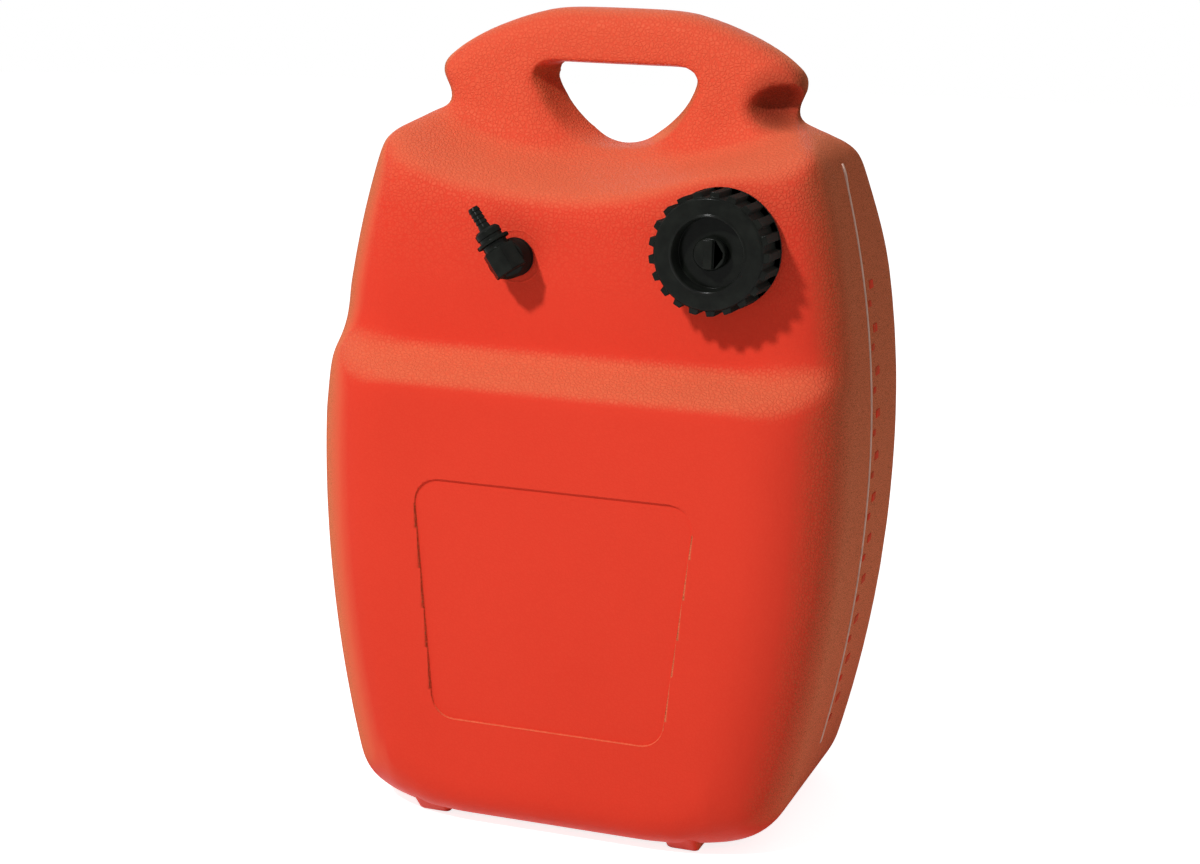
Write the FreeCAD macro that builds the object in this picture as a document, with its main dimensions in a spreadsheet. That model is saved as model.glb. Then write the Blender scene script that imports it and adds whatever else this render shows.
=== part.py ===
import FreeCAD, Part
import math
import os
import re

import Sketcher
from FreeCAD import Placement, Rotation, Vector

# Portable outboard fuel tank: a hollow moulded tank with its own carrying handle, a screw-on
# filler cap with a vent screw, and a swivelling hose outlet with its pick-up inside the tank.
# Millimetres. The origin is the middle of the footprint, +Z is up and the front faces -Y.
# "Reach" is the distance in front of the upper front face, along -Y, on the cap and the outlet.

SIZES = {
    # overall form of the moulded tank
    "tank_height": 515.0,
    "tank_half_width": 170.8,
    "tank_half_depth": 114.0,
    "widest_level": 240.0,
    "lower_side_radius": 804.0,
    "upper_side_radius": 640.0,
    "wall": 3.5,
    "base_edge_radius": 46.0,
    "shoulder_level": 449.0,
    "shoulder_half_width": 118.0,
    "shoulder_slope": 0.47,
    "face_edge_radius": 40.0,
    "shoulder_corner_radius": 26.0,
    "edge_crease": 0.6,
    # stepped front: the upper face stands back from the lower one
    "front_setback": 31.7,
    "ledge_level": 287.0,
    "ledge_rise": 18.0,
    "ledge_edge_radius": 9.0,
    # dished top on both sides of the handle
    "dish_level": 421.0,
    "dish_radius": 264.0,
    "dish_overrun": 5.0,
    "front_rim_level": 398.0,
    "front_rim_left_radius": 500.0,
    "front_rim_right_radius": 150.0,
    "back_rim_level": 390.0,
    # handle
    "handle_thickness": 40.0,
    "handle_edge_radius": 8.0,
    "grip_edge_radius": 11.0,
    "crown_half_width": 40.0,
    "crown_shoulder": 74.0,
    "crown_shoulder_level": 505.0,
    "crown_end": 97.0,
    "crown_end_level": 493.0,
    "lug_width": 116.5,
    "lug_level": 474.0,
    "lug_ease": 2.8,
    "waist_half_width": 112.5,
    "waist_level": 456.5,
    "grip_opening_half_width": 48.5,
    "grip_opening_top": 480.0,
    "grip_opening_bottom": 429.5,
    "grip_corner_radius": 8.0,
    # feet, parting bead and label panel
    "foot_proud": 4.0,
    "foot_offset": 84.0,
    "foot_width": 16.8,
    "foot_reach": 84.0,
    "foot_slope": 12.0,
    "bead_proud": 0.8,
    "bead_width": 2.4,
    "panel_depth": 2.0,
    "panel_corner_radius": 15.0,
    "panel_top_level": 227.8,
    "panel_bottom_level": 74.3,
    "panel_top_half_width": 91.6,
    "panel_bottom_half_width": 74.9,
    # filler neck and its thread
    "cap_across": 92.1,
    "cap_level": 378.8,
    "neck_radius": 27.3,
    "neck_wall": 4.0,
    "neck_reach": 25.0,
    "neck_skirt": 9.5,
    "thread_pitch": 5.0,
    "thread_height": 2.0,
    "thread_base": 2.2,
    "thread_crest": 1.0,
    "thread_clearance": 0.4,
    "thread_pull": 0.5,
    "neck_thread_start": 4.6,
    "neck_thread_turns": 1.6,
    "cap_thread_turns": 1.4,
    # filler cap
    "cap_reach": 31.0,
    "cap_wall": 3.6,
    "tooth_depth": 3.2,
    "tooth_count": 21.0,
    "tooth_root_width": 6.2,
    "tooth_tip_width": 4.6,
    "cap_skirt_gap": 0.6,
    "cap_corner_relief": 1.3,
    "cap_band": 3.0,
    "cap_band_proud": 0.3,
    "cap_well_depth": 11.0,
    "cap_well_floor": 3.0,
    "cap_well_wall": 1.6,
    "cap_well_taper": 0.6,
    "cap_lip_width": 1.8,
    "cap_lip_height": 0.6,
    "cap_chamfer": 1.0,
    "gasket_thickness": 2.0,
    "gasket_inset": 0.4,
    "gasket_overhang": 0.7,
    # vent screw in the middle of the cap
    "vent_screw_radius": 3.6,
    "vent_boss_radius": 7.5,
    "vent_boss_height": 1.5,
    "vent_knob_radius": 10.0,
    "vent_knob_gap": 0.4,
    "vent_knob_height": 6.1,
    "vent_knob_roof": 1.0,
    "vent_bar_length": 17.0,
    "vent_bar_width": 5.5,
    "vent_bar_height": 2.8,
    "vent_ring_section": 0.9,
    "vent_ring_gap": 0.1,
    "vent_tail": 4.5,
    "vent_groove_depth": 0.6,
    "vent_groove_width": 1.1,
    "vent_groove_end": 0.6,
    "retainer_radius": 5.5,
    "retainer_thickness": 0.9,
    # splash cup under the vent
    "splash_radius": 13.0,
    "splash_wall": 1.2,
    "splash_depth": 7.5,
    "splash_drain_radius": 1.6,
    "splash_rib_height": 2.5,
    "splash_rib_width": 0.9,
    # hose outlet
    "outlet_across": -38.0,
    "outlet_level": 365.0,
    "outlet_boss_radius": 17.5,
    "outlet_boss_height": 1.0,
    "outlet_collar_radius": 13.0,
    "insert_radius": 9.0,
    "insert_length": 15.0,
    "insert_groove_depth": 0.8,
    "insert_groove_width": 3.0,
    "shank_radius": 6.55,
    "outlet_gasket_radius": 11.5,
    "outlet_gasket_thickness": 1.2,
    "flange_radius": 12.0,
    "flange_thickness": 2.4,
    "spigot_radius": 6.0,
    "spigot_length": 12.9,
    "waterway_radius": 3.0,
    "ring_groove_start": 5.4,
    "ring_groove_width": 2.0,
    "ring_section": 0.7,
    "clip_groove_start": 10.8,
    "clip_thickness": 0.9,
    "clip_groove_depth": 0.8,
    "clip_reach": 1.2,
    "elbow_radius": 12.0,
    "elbow_axis_reach": 20.0,
    "elbow_head_reach": 21.0,
    "elbow_hex_flats": 19.0,
    "elbow_hex_half_length": 8.0,
    "elbow_chamfer": 2.5,
    "elbow_angle": 35.4,
    "elbow_pocket_radius": 8.0,
    "elbow_neck_radius": 8.0,
    "elbow_neck_length": 4.3,
    "elbow_thread_radius": 6.6,
    "elbow_thread_length": 3.7,
    # nut and barb on the elbow
    "nut_flange_radius": 10.6,
    "nut_flange_thickness": 1.9,
    "nut_waist_radius": 7.6,
    "nut_waist_length": 2.6,
    "nut_head_radius": 8.2,
    "nut_head_length": 3.4,
    "nut_plate": 1.6,
    "barb_seal_thickness": 1.0,
    "barb_collar_thickness": 1.5,
    "barb_radius": 3.75,
    "barb_relief": 0.4,
    "barb_valley_radius": 3.1,
    "barb_bore_radius": 1.9,
    "barb_reach": 36.9,
    "barb_ribs": 5.0,
    "barb_rib_pitch": 2.7,
    # pick-up inside the tank
    "tail_radius": 4.0,
    "tail_length": 18.0,
    "tube_wall": 1.5,
    "tube_bend_radius": 35.0,
    "clip_wall": 0.9,
    "clip_width": 6.0,
    "clip_ear_height": 4.0,
    "clip_ear_width": 3.6,
    "strainer_radius": 10.5,
    "strainer_wall": 1.2,
    "strainer_height": 38.0,
    "strainer_cone": 6.0,
    "strainer_window_width": 9.0,
    "strainer_window_margin": 4.5,
    "strainer_foot_radius": 11.0,
    "strainer_foot_thickness": 3.0,
    "strainer_plug_height": 2.4,
    "mesh_thickness": 0.6,
    # clearances
    "running_clearance": 0.05,
    "seat_gap": 0.3,
}

doc = FreeCAD.newDocument("fuel_tank")
sheet = doc.addObject("Spreadsheet::Sheet", "Sizes")
for row, (alias, default) in enumerate(SIZES.items(), start=1):
    sheet.set(f"A{row}", alias)
    sheet.set(f"B{row}", str(default))
    sheet.setAlias(f"B{row}", alias)
doc.recompute()

# Places that several pieces share, each worked out from the sheet.
SHARED = {
    "gasket_roof": "(neck_reach + gasket_thickness)",
    "cap_floor": "(cap_reach - cap_well_depth)",
    "cap_roof": "(cap_reach - cap_well_depth - cap_well_floor)",
    "cap_bore": "(neck_radius + thread_height + thread_clearance)",
    "grip_root": "(neck_radius + thread_height + thread_clearance + cap_wall)",
    "neck_bore": "(neck_radius - neck_wall)",
    "well_outer": "(neck_radius - neck_wall - gasket_inset - seat_gap)",
    "well_mouth": "(neck_radius - neck_wall - gasket_inset - seat_gap - cap_well_wall + cap_well_taper)",
    "vent_hole": "(vent_screw_radius + running_clearance)",
    "vent_boss_top": "(cap_reach - cap_well_depth + vent_boss_height)",
    "gasket_top": "(outlet_boss_height + outlet_gasket_thickness)",
    "flange_top": "(outlet_boss_height + outlet_gasket_thickness + flange_thickness)",
    "tail_start": "(outlet_boss_height - insert_length - 1)",
    "elbow_bore": "(spigot_radius + running_clearance)",
    "nut_start": "(elbow_hex_half_length + elbow_neck_length)",
    "thread_end": "(elbow_hex_half_length + elbow_neck_length + elbow_thread_length)",
    "tube_bore": "(tail_radius + running_clearance)",
    "tube_radius": "(tail_radius + running_clearance + tube_wall)",
    "strainer_base": "(foot_proud + wall + seat_gap)",
}


def bound(text):
    """Expression text in which every size name points at its cell of the sheet."""
    for name, meaning in SHARED.items():
        text = re.sub(rf"\b{name}\b", meaning, text)
    return re.sub(r"[a-z]\w*", lambda found: "Sizes." + found.group(), text)


def size(text):
    """Present value of a size or of a sum of sizes."""
    return float(sheet.evalExpression(bound(text)))


def bind(target, prop, text):
    target.setExpression(prop, bound(text))


# ---------------------------------------------------------------- sketches and bodies

def new_body(label, across="0 * wall", depth="0 * wall", level="0 * wall", turn=Rotation()):
    """Body whose origin stands at (across, depth, level) in the tank's frame."""
    body = doc.addObject("PartDesign::Body", label)
    body.Label = label
    body.Placement = Placement(Vector(size(across), size(depth), size(level)), turn)
    bind(body, "Placement.Base.x", across)
    bind(body, "Placement.Base.y", depth)
    bind(body, "Placement.Base.z", level)
    return body


def origin_plane(body, role):
    return next(item for item in body.Origin.OriginFeatures if item.Role == role)


def new_sketch(body, name, plane, offset=None):
    sketch = body.newObject("Sketcher::SketchObject", name)
    sketch.AttachmentSupport = [(origin_plane(body, plane), "")]
    sketch.MapMode = "FlatFace"
    if offset is not None:
        sketch.AttachmentOffset = Placement(Vector(0, 0, size(offset)), Rotation())
        bind(sketch, "AttachmentOffset.Base.z", offset)
    return sketch


def pin_point(sketch, geometry, point, across, up):
    """Tie one point of a sketch to its two coordinates."""
    for kind, axis, text in (("DistanceX", -2, across), ("DistanceY", -1, up)):
        place = size(text)
        if abs(place) < 1e-9:
            sketch.addConstraint(Sketcher.Constraint("PointOnObject", geometry, point, axis))
        elif place > 0:
            index = sketch.addConstraint(Sketcher.Constraint(kind, -1, 1, geometry, point, place))
            bind(sketch, f"Constraints[{index}]", text)
        else:
            index = sketch.addConstraint(Sketcher.Constraint(kind, geometry, point, -1, 1, -place))
            bind(sketch, f"Constraints[{index}]", f"-({text})")


def draw_outline(sketch, corners):
    """Closed outline of straight edges through corners given as pairs of expressions."""
    places = [Vector(size(across), size(up), 0) for across, up in corners]
    first = sketch.GeometryCount
    count = len(places)
    for index, start in enumerate(places):
        sketch.addGeometry(Part.LineSegment(start, places[(index + 1) % count]), False)
    for index in range(count):
        following = first + (index + 1) % count
        sketch.addConstraint(Sketcher.Constraint("Coincident", first + index, 2, following, 1))
    for index, (across, up) in enumerate(corners):
        pin_point(sketch, first + index, 1, across, up)


def draw_circle(sketch, across, up, radius):
    centre = Vector(size(across), size(up), 0)
    circle = sketch.addGeometry(Part.Circle(centre, Vector(0, 0, 1), size(radius)), False)
    if abs(centre.x) < 1e-9 and abs(centre.y) < 1e-9:
        sketch.addConstraint(Sketcher.Constraint("Coincident", circle, 3, -1, 1))
    else:
        pin_point(sketch, circle, 3, across, up)
    index = sketch.addConstraint(Sketcher.Constraint("Radius", circle, size(radius)))
    bind(sketch, f"Constraints[{index}]", radius)


def revolve(body, name, corners):
    """Solid turned about the body's own Z from (radius, height) corners."""
    sketch = new_sketch(body, name + "_profile", "XZ_Plane")
    draw_outline(sketch, corners)
    turned = body.newObject("PartDesign::Revolution", name)
    turned.Profile = sketch
    turned.ReferenceAxis = (sketch, ["V_Axis"])
    turned.Angle = 360.0
    sketch.Visibility = False
    return turned


def pad(body, name, sketch, length, symmetric=False, reverse=False):
    block = body.newObject("PartDesign::Pad", name)
    block.Profile = sketch
    block.Length = size(length)
    bind(block, "Length", length)
    block.Midplane = symmetric
    block.Reversed = reverse
    return block


def pocket_through(body, name, sketch):
    """Cut the sketch right through the body, both ways from its plane."""
    cut = body.newObject("PartDesign::Pocket", name)
    cut.Profile = sketch
    cut.Type = "ThroughAll"
    cut.Midplane = True
    return cut


def turned_piece(label, corners, **place):
    body = new_body(label, **place)
    revolve(body, label + "_turned", corners)
    return body


def ring_seal(label, mean_radius, height, section, **place):
    """O-ring lying level in its body's own frame."""
    body = new_body(label, **place)
    sketch = new_sketch(body, label + "_section", "XZ_Plane")
    draw_circle(sketch, mean_radius, height, section)
    ring = body.newObject("PartDesign::Revolution", label + "_turned")
    ring.Profile = sketch
    ring.ReferenceAxis = (sketch, ["V_Axis"])
    ring.Angle = 360.0
    return body


# ---------------------------------------------------------------- moulded tank

OUTWARD = Rotation(Vector(1, 0, 0), 90)
FACE_DEPTH = "front_setback - tank_half_depth"
CAP_PLACE = {"across": "cap_across", "depth": FACE_DEPTH, "level": "cap_level", "turn": OUTWARD}
OUTLET_PLACE = {"across": "outlet_across", "depth": FACE_DEPTH, "level": "outlet_level", "turn": OUTWARD}


def flat_point(across, level):
    return Vector(across, 0, level)


def side_centre(radius):
    """Centre of one of the two shallow arcs that make the right side of the front view."""
    return flat_point(size("tank_half_width") - radius, size("widest_level"))


def half_width(level, inset):
    """Half width of the tank: two shallow arcs that meet at its widest level."""
    rise = level - size("widest_level")
    radius = size("upper_side_radius") if rise > 0 else size("lower_side_radius")
    return side_centre(radius).x + math.sqrt((radius - inset) ** 2 - rise ** 2)


def side_arc(side, inset, start, end):
    """Stretch of one side of the front view between two levels."""
    levels = (start, (start + end) / 2, end)
    places = [flat_point(side * half_width(level, inset), level) for level in levels]
    return Part.Arc(*places).toShape()


def front_outline(inset):
    """Front view without the handle, with its sides carried straight past the shoulders."""
    bottom = size("foot_proud") + inset
    top = size("shoulder_level") + size("face_edge_radius")
    widest = size("widest_level")
    corner_radius = size("base_edge_radius") - inset
    side_radius = size("lower_side_radius") - inset
    hub = side_centre(size("lower_side_radius"))
    corner_level = bottom + corner_radius
    spread = math.sqrt((side_radius - corner_radius) ** 2 - (corner_level - widest) ** 2)
    corner = flat_point(hub.x + spread, corner_level)
    touch = hub + (corner - hub).normalize() * side_radius
    halfway = math.atan2(touch.z - corner.z, touch.x - corner.x) / 2 - math.pi / 4
    middle = corner + flat_point(math.cos(halfway), math.sin(halfway)) * corner_radius
    edges = [Part.makeLine(flat_point(-corner.x, bottom), flat_point(corner.x, bottom))]
    for side in (-1, 1):
        spots = (flat_point(corner.x, bottom), middle, touch)
        places = [flat_point(side * spot.x, spot.z) for spot in spots]
        edges.append(Part.Arc(*places).toShape())
        edges.append(side_arc(side, inset, touch.z, widest))
        edges.append(side_arc(side, inset, widest, top))
    reach = half_width(top, inset)
    edges.append(Part.makeLine(flat_point(-reach, top), flat_point(reach, top)))
    return Part.Wire(Part.__sortEdges__(edges))


def plate(wire, front, back):
    """Solid from an outline drawn in the parting plane, between two depths."""
    block = Part.Face(wire).extrude(Vector(0, back - front, 0))
    block.translate(Vector(0, front, 0))
    return block


def slab(wire, half_thickness):
    return plate(wire, -half_thickness, half_thickness)


def rim_edges(block, depth):
    """Edges of the block's outline at one depth, except its straight top."""
    top = size("shoulder_level") + size("face_edge_radius")
    flat = [edge for edge in block.Edges if edge.BoundBox.YLength < 1e-6 and edge.BoundBox.ZMin < top - 1]
    return [edge for edge in flat if abs(edge.BoundBox.YMin - depth) < 1e-6]


def ledge_cutter(inset):
    """What is missing above the ledge and in front of the upper face."""
    face = size(FACE_DEPTH) + inset
    front = -size("tank_half_depth") + inset
    slope = size("ledge_rise") / size("front_setback")
    low = size("ledge_level") - inset
    over = 2 * size("tank_height")
    reach = 2 * size("tank_half_width")
    radius = size("ledge_edge_radius")
    drop = Vector(-reach, front - size("edge_crease"), low - radius)
    turn = Vector(-reach, front + radius / 4, low - radius / 5)
    start = Vector(-reach, front + radius, low + radius * slope)
    places = [
        start,
        Vector(-reach, face, low + size("ledge_rise")),
        Vector(-reach, 0, low + size("ledge_rise")),
        Vector(-reach, 0, over),
        Vector(-reach, 2 * front, over),
        Vector(-reach, 2 * front, low - radius),
        drop,
    ]
    edges = [Part.makeLine(one, other) for one, other in zip(places, places[1:])]
    edges.append(Part.Arc(drop, turn, start).toShape())
    return Part.Face(Part.Wire(Part.__sortEdges__(edges))).extrude(Vector(2 * reach, 0, 0))


def shoulder_cutter(inset):
    """What is missing above the flat top, the two sloping shoulders and their round corners."""
    level = size("shoulder_level") - inset
    radius = size("shoulder_corner_radius") - inset
    slope = Vector(1, 0, -size("shoulder_slope")).normalize()
    inward = Vector(slope.z, 0, -slope.x)
    hub = side_centre(size("upper_side_radius"))
    side_radius = size("upper_side_radius") - inset
    bend = flat_point(size("shoulder_half_width"), level)
    offset = bend + inward * radius - hub
    spread = side_radius - radius + size("edge_crease")
    along = offset.dot(slope)
    run = math.sqrt(along ** 2 - offset.dot(offset) + spread ** 2) - along
    centre = bend + inward * radius + slope * run
    outward = (centre - hub).normalize()
    start = centre - inward * radius
    middle = centre + (outward - inward).normalize() * radius
    end = centre + outward * radius
    out = 2 * size("tank_half_width")
    over = 2 * size("tank_height")
    edges = [
        Part.makeLine(flat_point(-bend.x, level), bend),
        Part.makeLine(flat_point(-out, over), flat_point(out, over)),
    ]
    for side in (-1, 1):
        line = [bend, start, middle, end, flat_point(out, end.z), flat_point(out, over)]
        turned = [flat_point(side * place.x, place.z) for place in line]
        edges.append(Part.makeLine(turned[0], turned[1]))
        edges.append(Part.Arc(turned[1], turned[2], turned[3]).toShape())
        edges.append(Part.makeLine(turned[3], turned[4]))
        edges.append(Part.makeLine(turned[4], turned[5]))
    return slab(Part.Wire(Part.__sortEdges__(edges)), 2 * size("tank_half_depth"))


def tank_block(inset):
    """Tank without its handle, inset from its outer surface."""
    wire = front_outline(inset)
    radius = size("face_edge_radius") - inset
    depth = size("tank_half_depth") - inset
    face = size(FACE_DEPTH) + inset
    upper = plate(wire, face, depth)
    upper = upper.makeFillet(radius, rim_edges(upper, face) + rim_edges(upper, depth))
    upper = upper.cut(shoulder_cutter(inset))
    lower = plate(wire, -depth, 0)
    lower = lower.makeFillet(radius, rim_edges(lower, -depth))
    lower = lower.cut(ledge_cutter(inset))
    return upper, lower


def dish_profile(depth, level, left, right):
    """Smile-shaped outline of a dish at one depth: two quarter rounds that meet in the middle."""
    slant = 1 - math.sqrt(0.5)
    bottom = Vector(0, depth, level)
    edges = []
    ends = []
    for side, radius in ((-1, left), (1, right)):
        middle = Vector(side * radius * math.sqrt(0.5), depth, level + radius * slant)
        ends.append(Vector(side * radius, depth, level + radius))
        edges.append(Part.Arc(bottom, middle, ends[-1]).toShape())
    return Part.Wire([edges[0].reversed(), edges[1], Part.makeLine(ends[1], ends[0])])


def dish_cutter(side, inset):
    """Sloping scoop that hollows the top from the handle out to the front or the back."""
    near = side * (size("handle_thickness") / 2 - inset)
    start = dish_profile(near, size("dish_level") - inset, size("dish_radius"), size("dish_radius"))
    if side < 0:
        far = size(FACE_DEPTH) - size("dish_overrun")
        level = size("front_rim_level") - inset
        end = dish_profile(far, level, size("front_rim_left_radius"), size("front_rim_right_radius"))
    else:
        far = size("tank_half_depth") + size("dish_overrun")
        level = size("back_rim_level") - inset
        end = dish_profile(far, level, size("dish_radius"), size("dish_radius"))
    return Part.makeLoft([start, end], True, True)


def handle_side(side, inset):
    """One side of the handle's outline, over its lug and the waist below it."""
    lug = size("lug_width")
    level = size("lug_level")
    waist = size("waist_half_width")
    ease = size("lug_ease")
    run = [
        flat_point(side * size("crown_half_width"), size("tank_height")),
        flat_point(side * size("crown_shoulder"), size("crown_shoulder_level")),
        flat_point(side * size("crown_end"), size("crown_end_level")),
        flat_point(side * (lug - 2.5 * ease), level + 4 * ease),
        flat_point(side * lug, level),
        flat_point(side * (lug - ease / 2), level - 3 * ease),
        flat_point(side * waist, size("waist_level")),
        flat_point(side * (waist + ease), size("shoulder_level")),
        flat_point(side * (waist + 1.5 * ease), size("shoulder_level") - 5 * ease),
    ]
    start = Vector(side, 0, 0)
    end = Vector(0, 0, -1)
    curve = Part.BSplineCurve()
    curve.interpolate(Points=run, InitialTangent=start, FinalTangent=end)
    if inset == 0:
        return curve
    moved = []
    for place in run:
        along = curve.tangent(curve.parameter(place))[0]
        moved.append(place + flat_point(along.z, -along.x) * side * inset)
    inner = Part.BSplineCurve()
    inner.interpolate(Points=moved, InitialTangent=start, FinalTangent=end)
    return inner


def handle_outline(inset):
    """Outer outline of the handle, down into the tank."""
    root = size("dish_level") - 2 * size("wall") + inset
    edges = []
    tops = []
    roots = []
    for side in (-1, 1):
        curve = handle_side(side, inset)
        foot_end = curve.EndPoint
        tops.append(curve.StartPoint)
        roots.append(flat_point(foot_end.x, root))
        edges.append(curve.toShape())
        edges.append(Part.makeLine(foot_end, roots[-1]))
    edges.append(Part.makeLine(*tops))
    edges.append(Part.makeLine(*roots))
    return Part.Wire(Part.__sortEdges__(edges))


def grip_outline():
    """Finger opening: flat on top with round corners, a half round below."""
    half = size("grip_opening_half_width")
    top = size("grip_opening_top")
    corner = size("grip_corner_radius")
    hub = flat_point(0, size("grip_opening_bottom") + half)
    level = top - corner
    spread = math.sqrt((half - corner) ** 2 - (level - hub.z) ** 2)
    bottom = flat_point(0, size("grip_opening_bottom"))
    ends = []
    edges = []
    for side in (-1, 1):
        centre = flat_point(side * spread, level)
        outward = (centre - hub).normalize()
        touch = centre + outward * corner
        middle = centre + (outward + flat_point(0, 1)).normalize() * corner
        ends.append((centre + flat_point(0, corner), touch))
        edges.append(Part.Arc(ends[-1][0], middle, touch).toShape())
    edges.append(Part.makeLine(ends[0][0], ends[1][0]))
    edges.append(Part.Arc(ends[0][1], bottom, ends[1][1]).toShape())
    return Part.Wire(Part.__sortEdges__(edges))


def handle_solid(inset):
    """Handle with its finger opening, inset from its outer surface."""
    half = size("handle_thickness") / 2 - inset
    block = slab(handle_outline(inset), half)
    if inset > 0:
        return block.cut(slab(grip_outline().makeOffset2D(inset), half + 1))
    low = size("dish_level")
    rims = [edge for edge in block.Edges if edge.BoundBox.YLength < 1e-6 and edge.BoundBox.ZMax > low]
    block = block.makeFillet(size("handle_edge_radius"), rims)
    block = block.cut(slab(grip_outline(), half + 1))
    rims = [edge for edge in block.Edges if is_grip_rim(edge, half)]
    return block.makeFillet(size("grip_edge_radius"), rims)


def is_grip_rim(edge, half):
    """Edges where the finger opening meets the handle's two faces."""
    box = edge.BoundBox
    on_face = box.YLength < 1e-6 and abs(abs(box.YMin) - half) < 1e-6
    within = max(abs(box.XMin), abs(box.XMax)) < size("grip_opening_half_width") + 1
    above = box.ZMin > size("dish_level")
    return on_face and within and above and box.ZMax < size("grip_opening_top") + 1


def level_cylinder(place, radius, start, end):
    """Cylinder along the front's outward direction between two reaches."""
    base = Vector(size(place["across"]), size(FACE_DEPTH) - start, size(place["level"]))
    return Part.makeCylinder(radius, end - start, base, Vector(0, -1, 0))


def neck_thread():
    """Ridge that winds round the filler neck."""
    root = size("neck_radius")
    pitch = size("thread_pitch")
    path = Part.Wire(Part.makeHelix(pitch, pitch * size("neck_thread_turns"), root))
    half_base = size("thread_base") / 2
    half_crest = size("thread_crest") / 2
    buried = root - size("thread_clearance")
    crest = root + size("thread_height")
    corners = [
        Vector(buried, 0, -half_base),
        Vector(crest, 0, -half_crest),
        Vector(crest, 0, half_crest),
        Vector(buried, 0, half_base),
    ]
    profile = Part.makePolygon(corners + corners[:1])
    ridge = path.makePipeShell([profile], True, True)
    reach = size("neck_thread_start")
    ridge.Placement = Placement(
        Vector(size("cap_across"), size(FACE_DEPTH) - reach, size("cap_level")), OUTWARD)
    return ridge


def foot(side):
    """Runner under the tank, with sloping ends that run up into its round edges."""
    reach = size("foot_reach")
    slope = size("foot_slope")
    buried = size("foot_proud + foot_slope + wall / 2")
    corners = [
        Vector(0, -reach, 0),
        Vector(0, reach, 0),
        Vector(0, reach + slope, slope),
        Vector(0, reach + slope, buried),
        Vector(0, -reach - slope, buried),
        Vector(0, -reach - slope, slope),
    ]
    face = Part.Face(Part.makePolygon(corners + corners[:1]))
    runner = face.extrude(Vector(size("foot_width"), 0, 0))
    runner.translate(Vector(side * size("foot_offset") - size("foot_width") / 2, 0, 0))
    return runner


def parting_bead(side):
    """Thin bead along one side where the two mould halves meet."""
    low = size("foot_proud + base_edge_radius")
    high = size("shoulder_level - base_edge_radius / 2")
    widest = size("widest_level")
    proud = -size("bead_proud")
    buried = size("wall") / 2
    edges = [
        side_arc(side, proud, low, widest),
        side_arc(side, proud, widest, high),
        side_arc(side, buried, low, widest),
        side_arc(side, buried, widest, high),
    ]
    for level in (low, high):
        inner = flat_point(side * half_width(level, buried), level)
        edges.append(Part.makeLine(inner, flat_point(side * half_width(level, proud), level)))
    return slab(Part.Wire(Part.__sortEdges__(edges)), size("bead_width") / 2)


def panel_cutter():
    """Shallow recess of the label panel, wider at the top."""
    top = size("panel_top_level")
    bottom = size("panel_bottom_level")
    wide = size("panel_top_half_width")
    narrow = size("panel_bottom_half_width")
    front = -size("tank_half_depth")
    corners = [
        Vector(-wide, front, top),
        Vector(wide, front, top),
        Vector(narrow, front, bottom),
        Vector(-narrow, front, bottom),
    ]
    face = Part.Face(Part.makePolygon(corners + corners[:1]))
    block = face.extrude(Vector(0, 2 * size("panel_depth"), 0))
    block.translate(Vector(0, -size("panel_depth"), 0))
    uprights = [edge for edge in block.Edges if edge.BoundBox.YLength > size("panel_depth")]
    return block.makeFillet(size("panel_corner_radius"), uprights)


def hollowed_block(inset):
    """Tank with its two dishes but without its handle."""
    upper, lower = tank_block(inset)
    for side in (-1, 1):
        upper = upper.cut(dish_cutter(side, inset))
    return upper.fuse(lower)


def tank_shell():
    wall = size("wall")
    outer = hollowed_block(0)
    cavity = hollowed_block(wall)
    opening = slab(grip_outline(), size("tank_half_depth"))
    outer = outer.cut(opening).fuse(handle_solid(0))
    wider = slab(grip_outline().makeOffset2D(wall), size("tank_half_depth"))
    cavity = cavity.cut(wider).fuse(handle_solid(wall))
    for side in (-1, 1):
        outer = outer.fuse(foot(side)).fuse(parting_bead(side))
    outer = outer.cut(panel_cutter())
    shell = outer.cut(cavity)
    neck_end = -size("neck_skirt")
    past = size("seat_gap")
    neck = level_cylinder(CAP_PLACE, size("neck_radius"), neck_end, size("neck_reach"))
    boss = level_cylinder(OUTLET_PLACE, size("outlet_boss_radius"), -wall, size("outlet_boss_height"))
    insert_end = size("outlet_boss_height - insert_length")
    collar = level_cylinder(OUTLET_PLACE, size("outlet_collar_radius"), insert_end, 0)
    shell = shell.multiFuse([neck, boss, collar])
    bore = level_cylinder(CAP_PLACE, size("neck_bore"), neck_end - past, size("neck_reach") + past)
    seat_radius = size("insert_radius + running_clearance")
    seat = level_cylinder(OUTLET_PLACE, seat_radius, insert_end - past, size("outlet_boss_height") + past)
    shell = shell.cut(bore).cut(seat)
    return shell.fuse(neck_thread())


tank = doc.addObject("Part::Feature", "tank_shell")
tank.Label = "tank_shell"
tank.Shape = tank_shell()
tank.Placement = Placement()


# ---------------------------------------------------------------- filler cap

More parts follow.
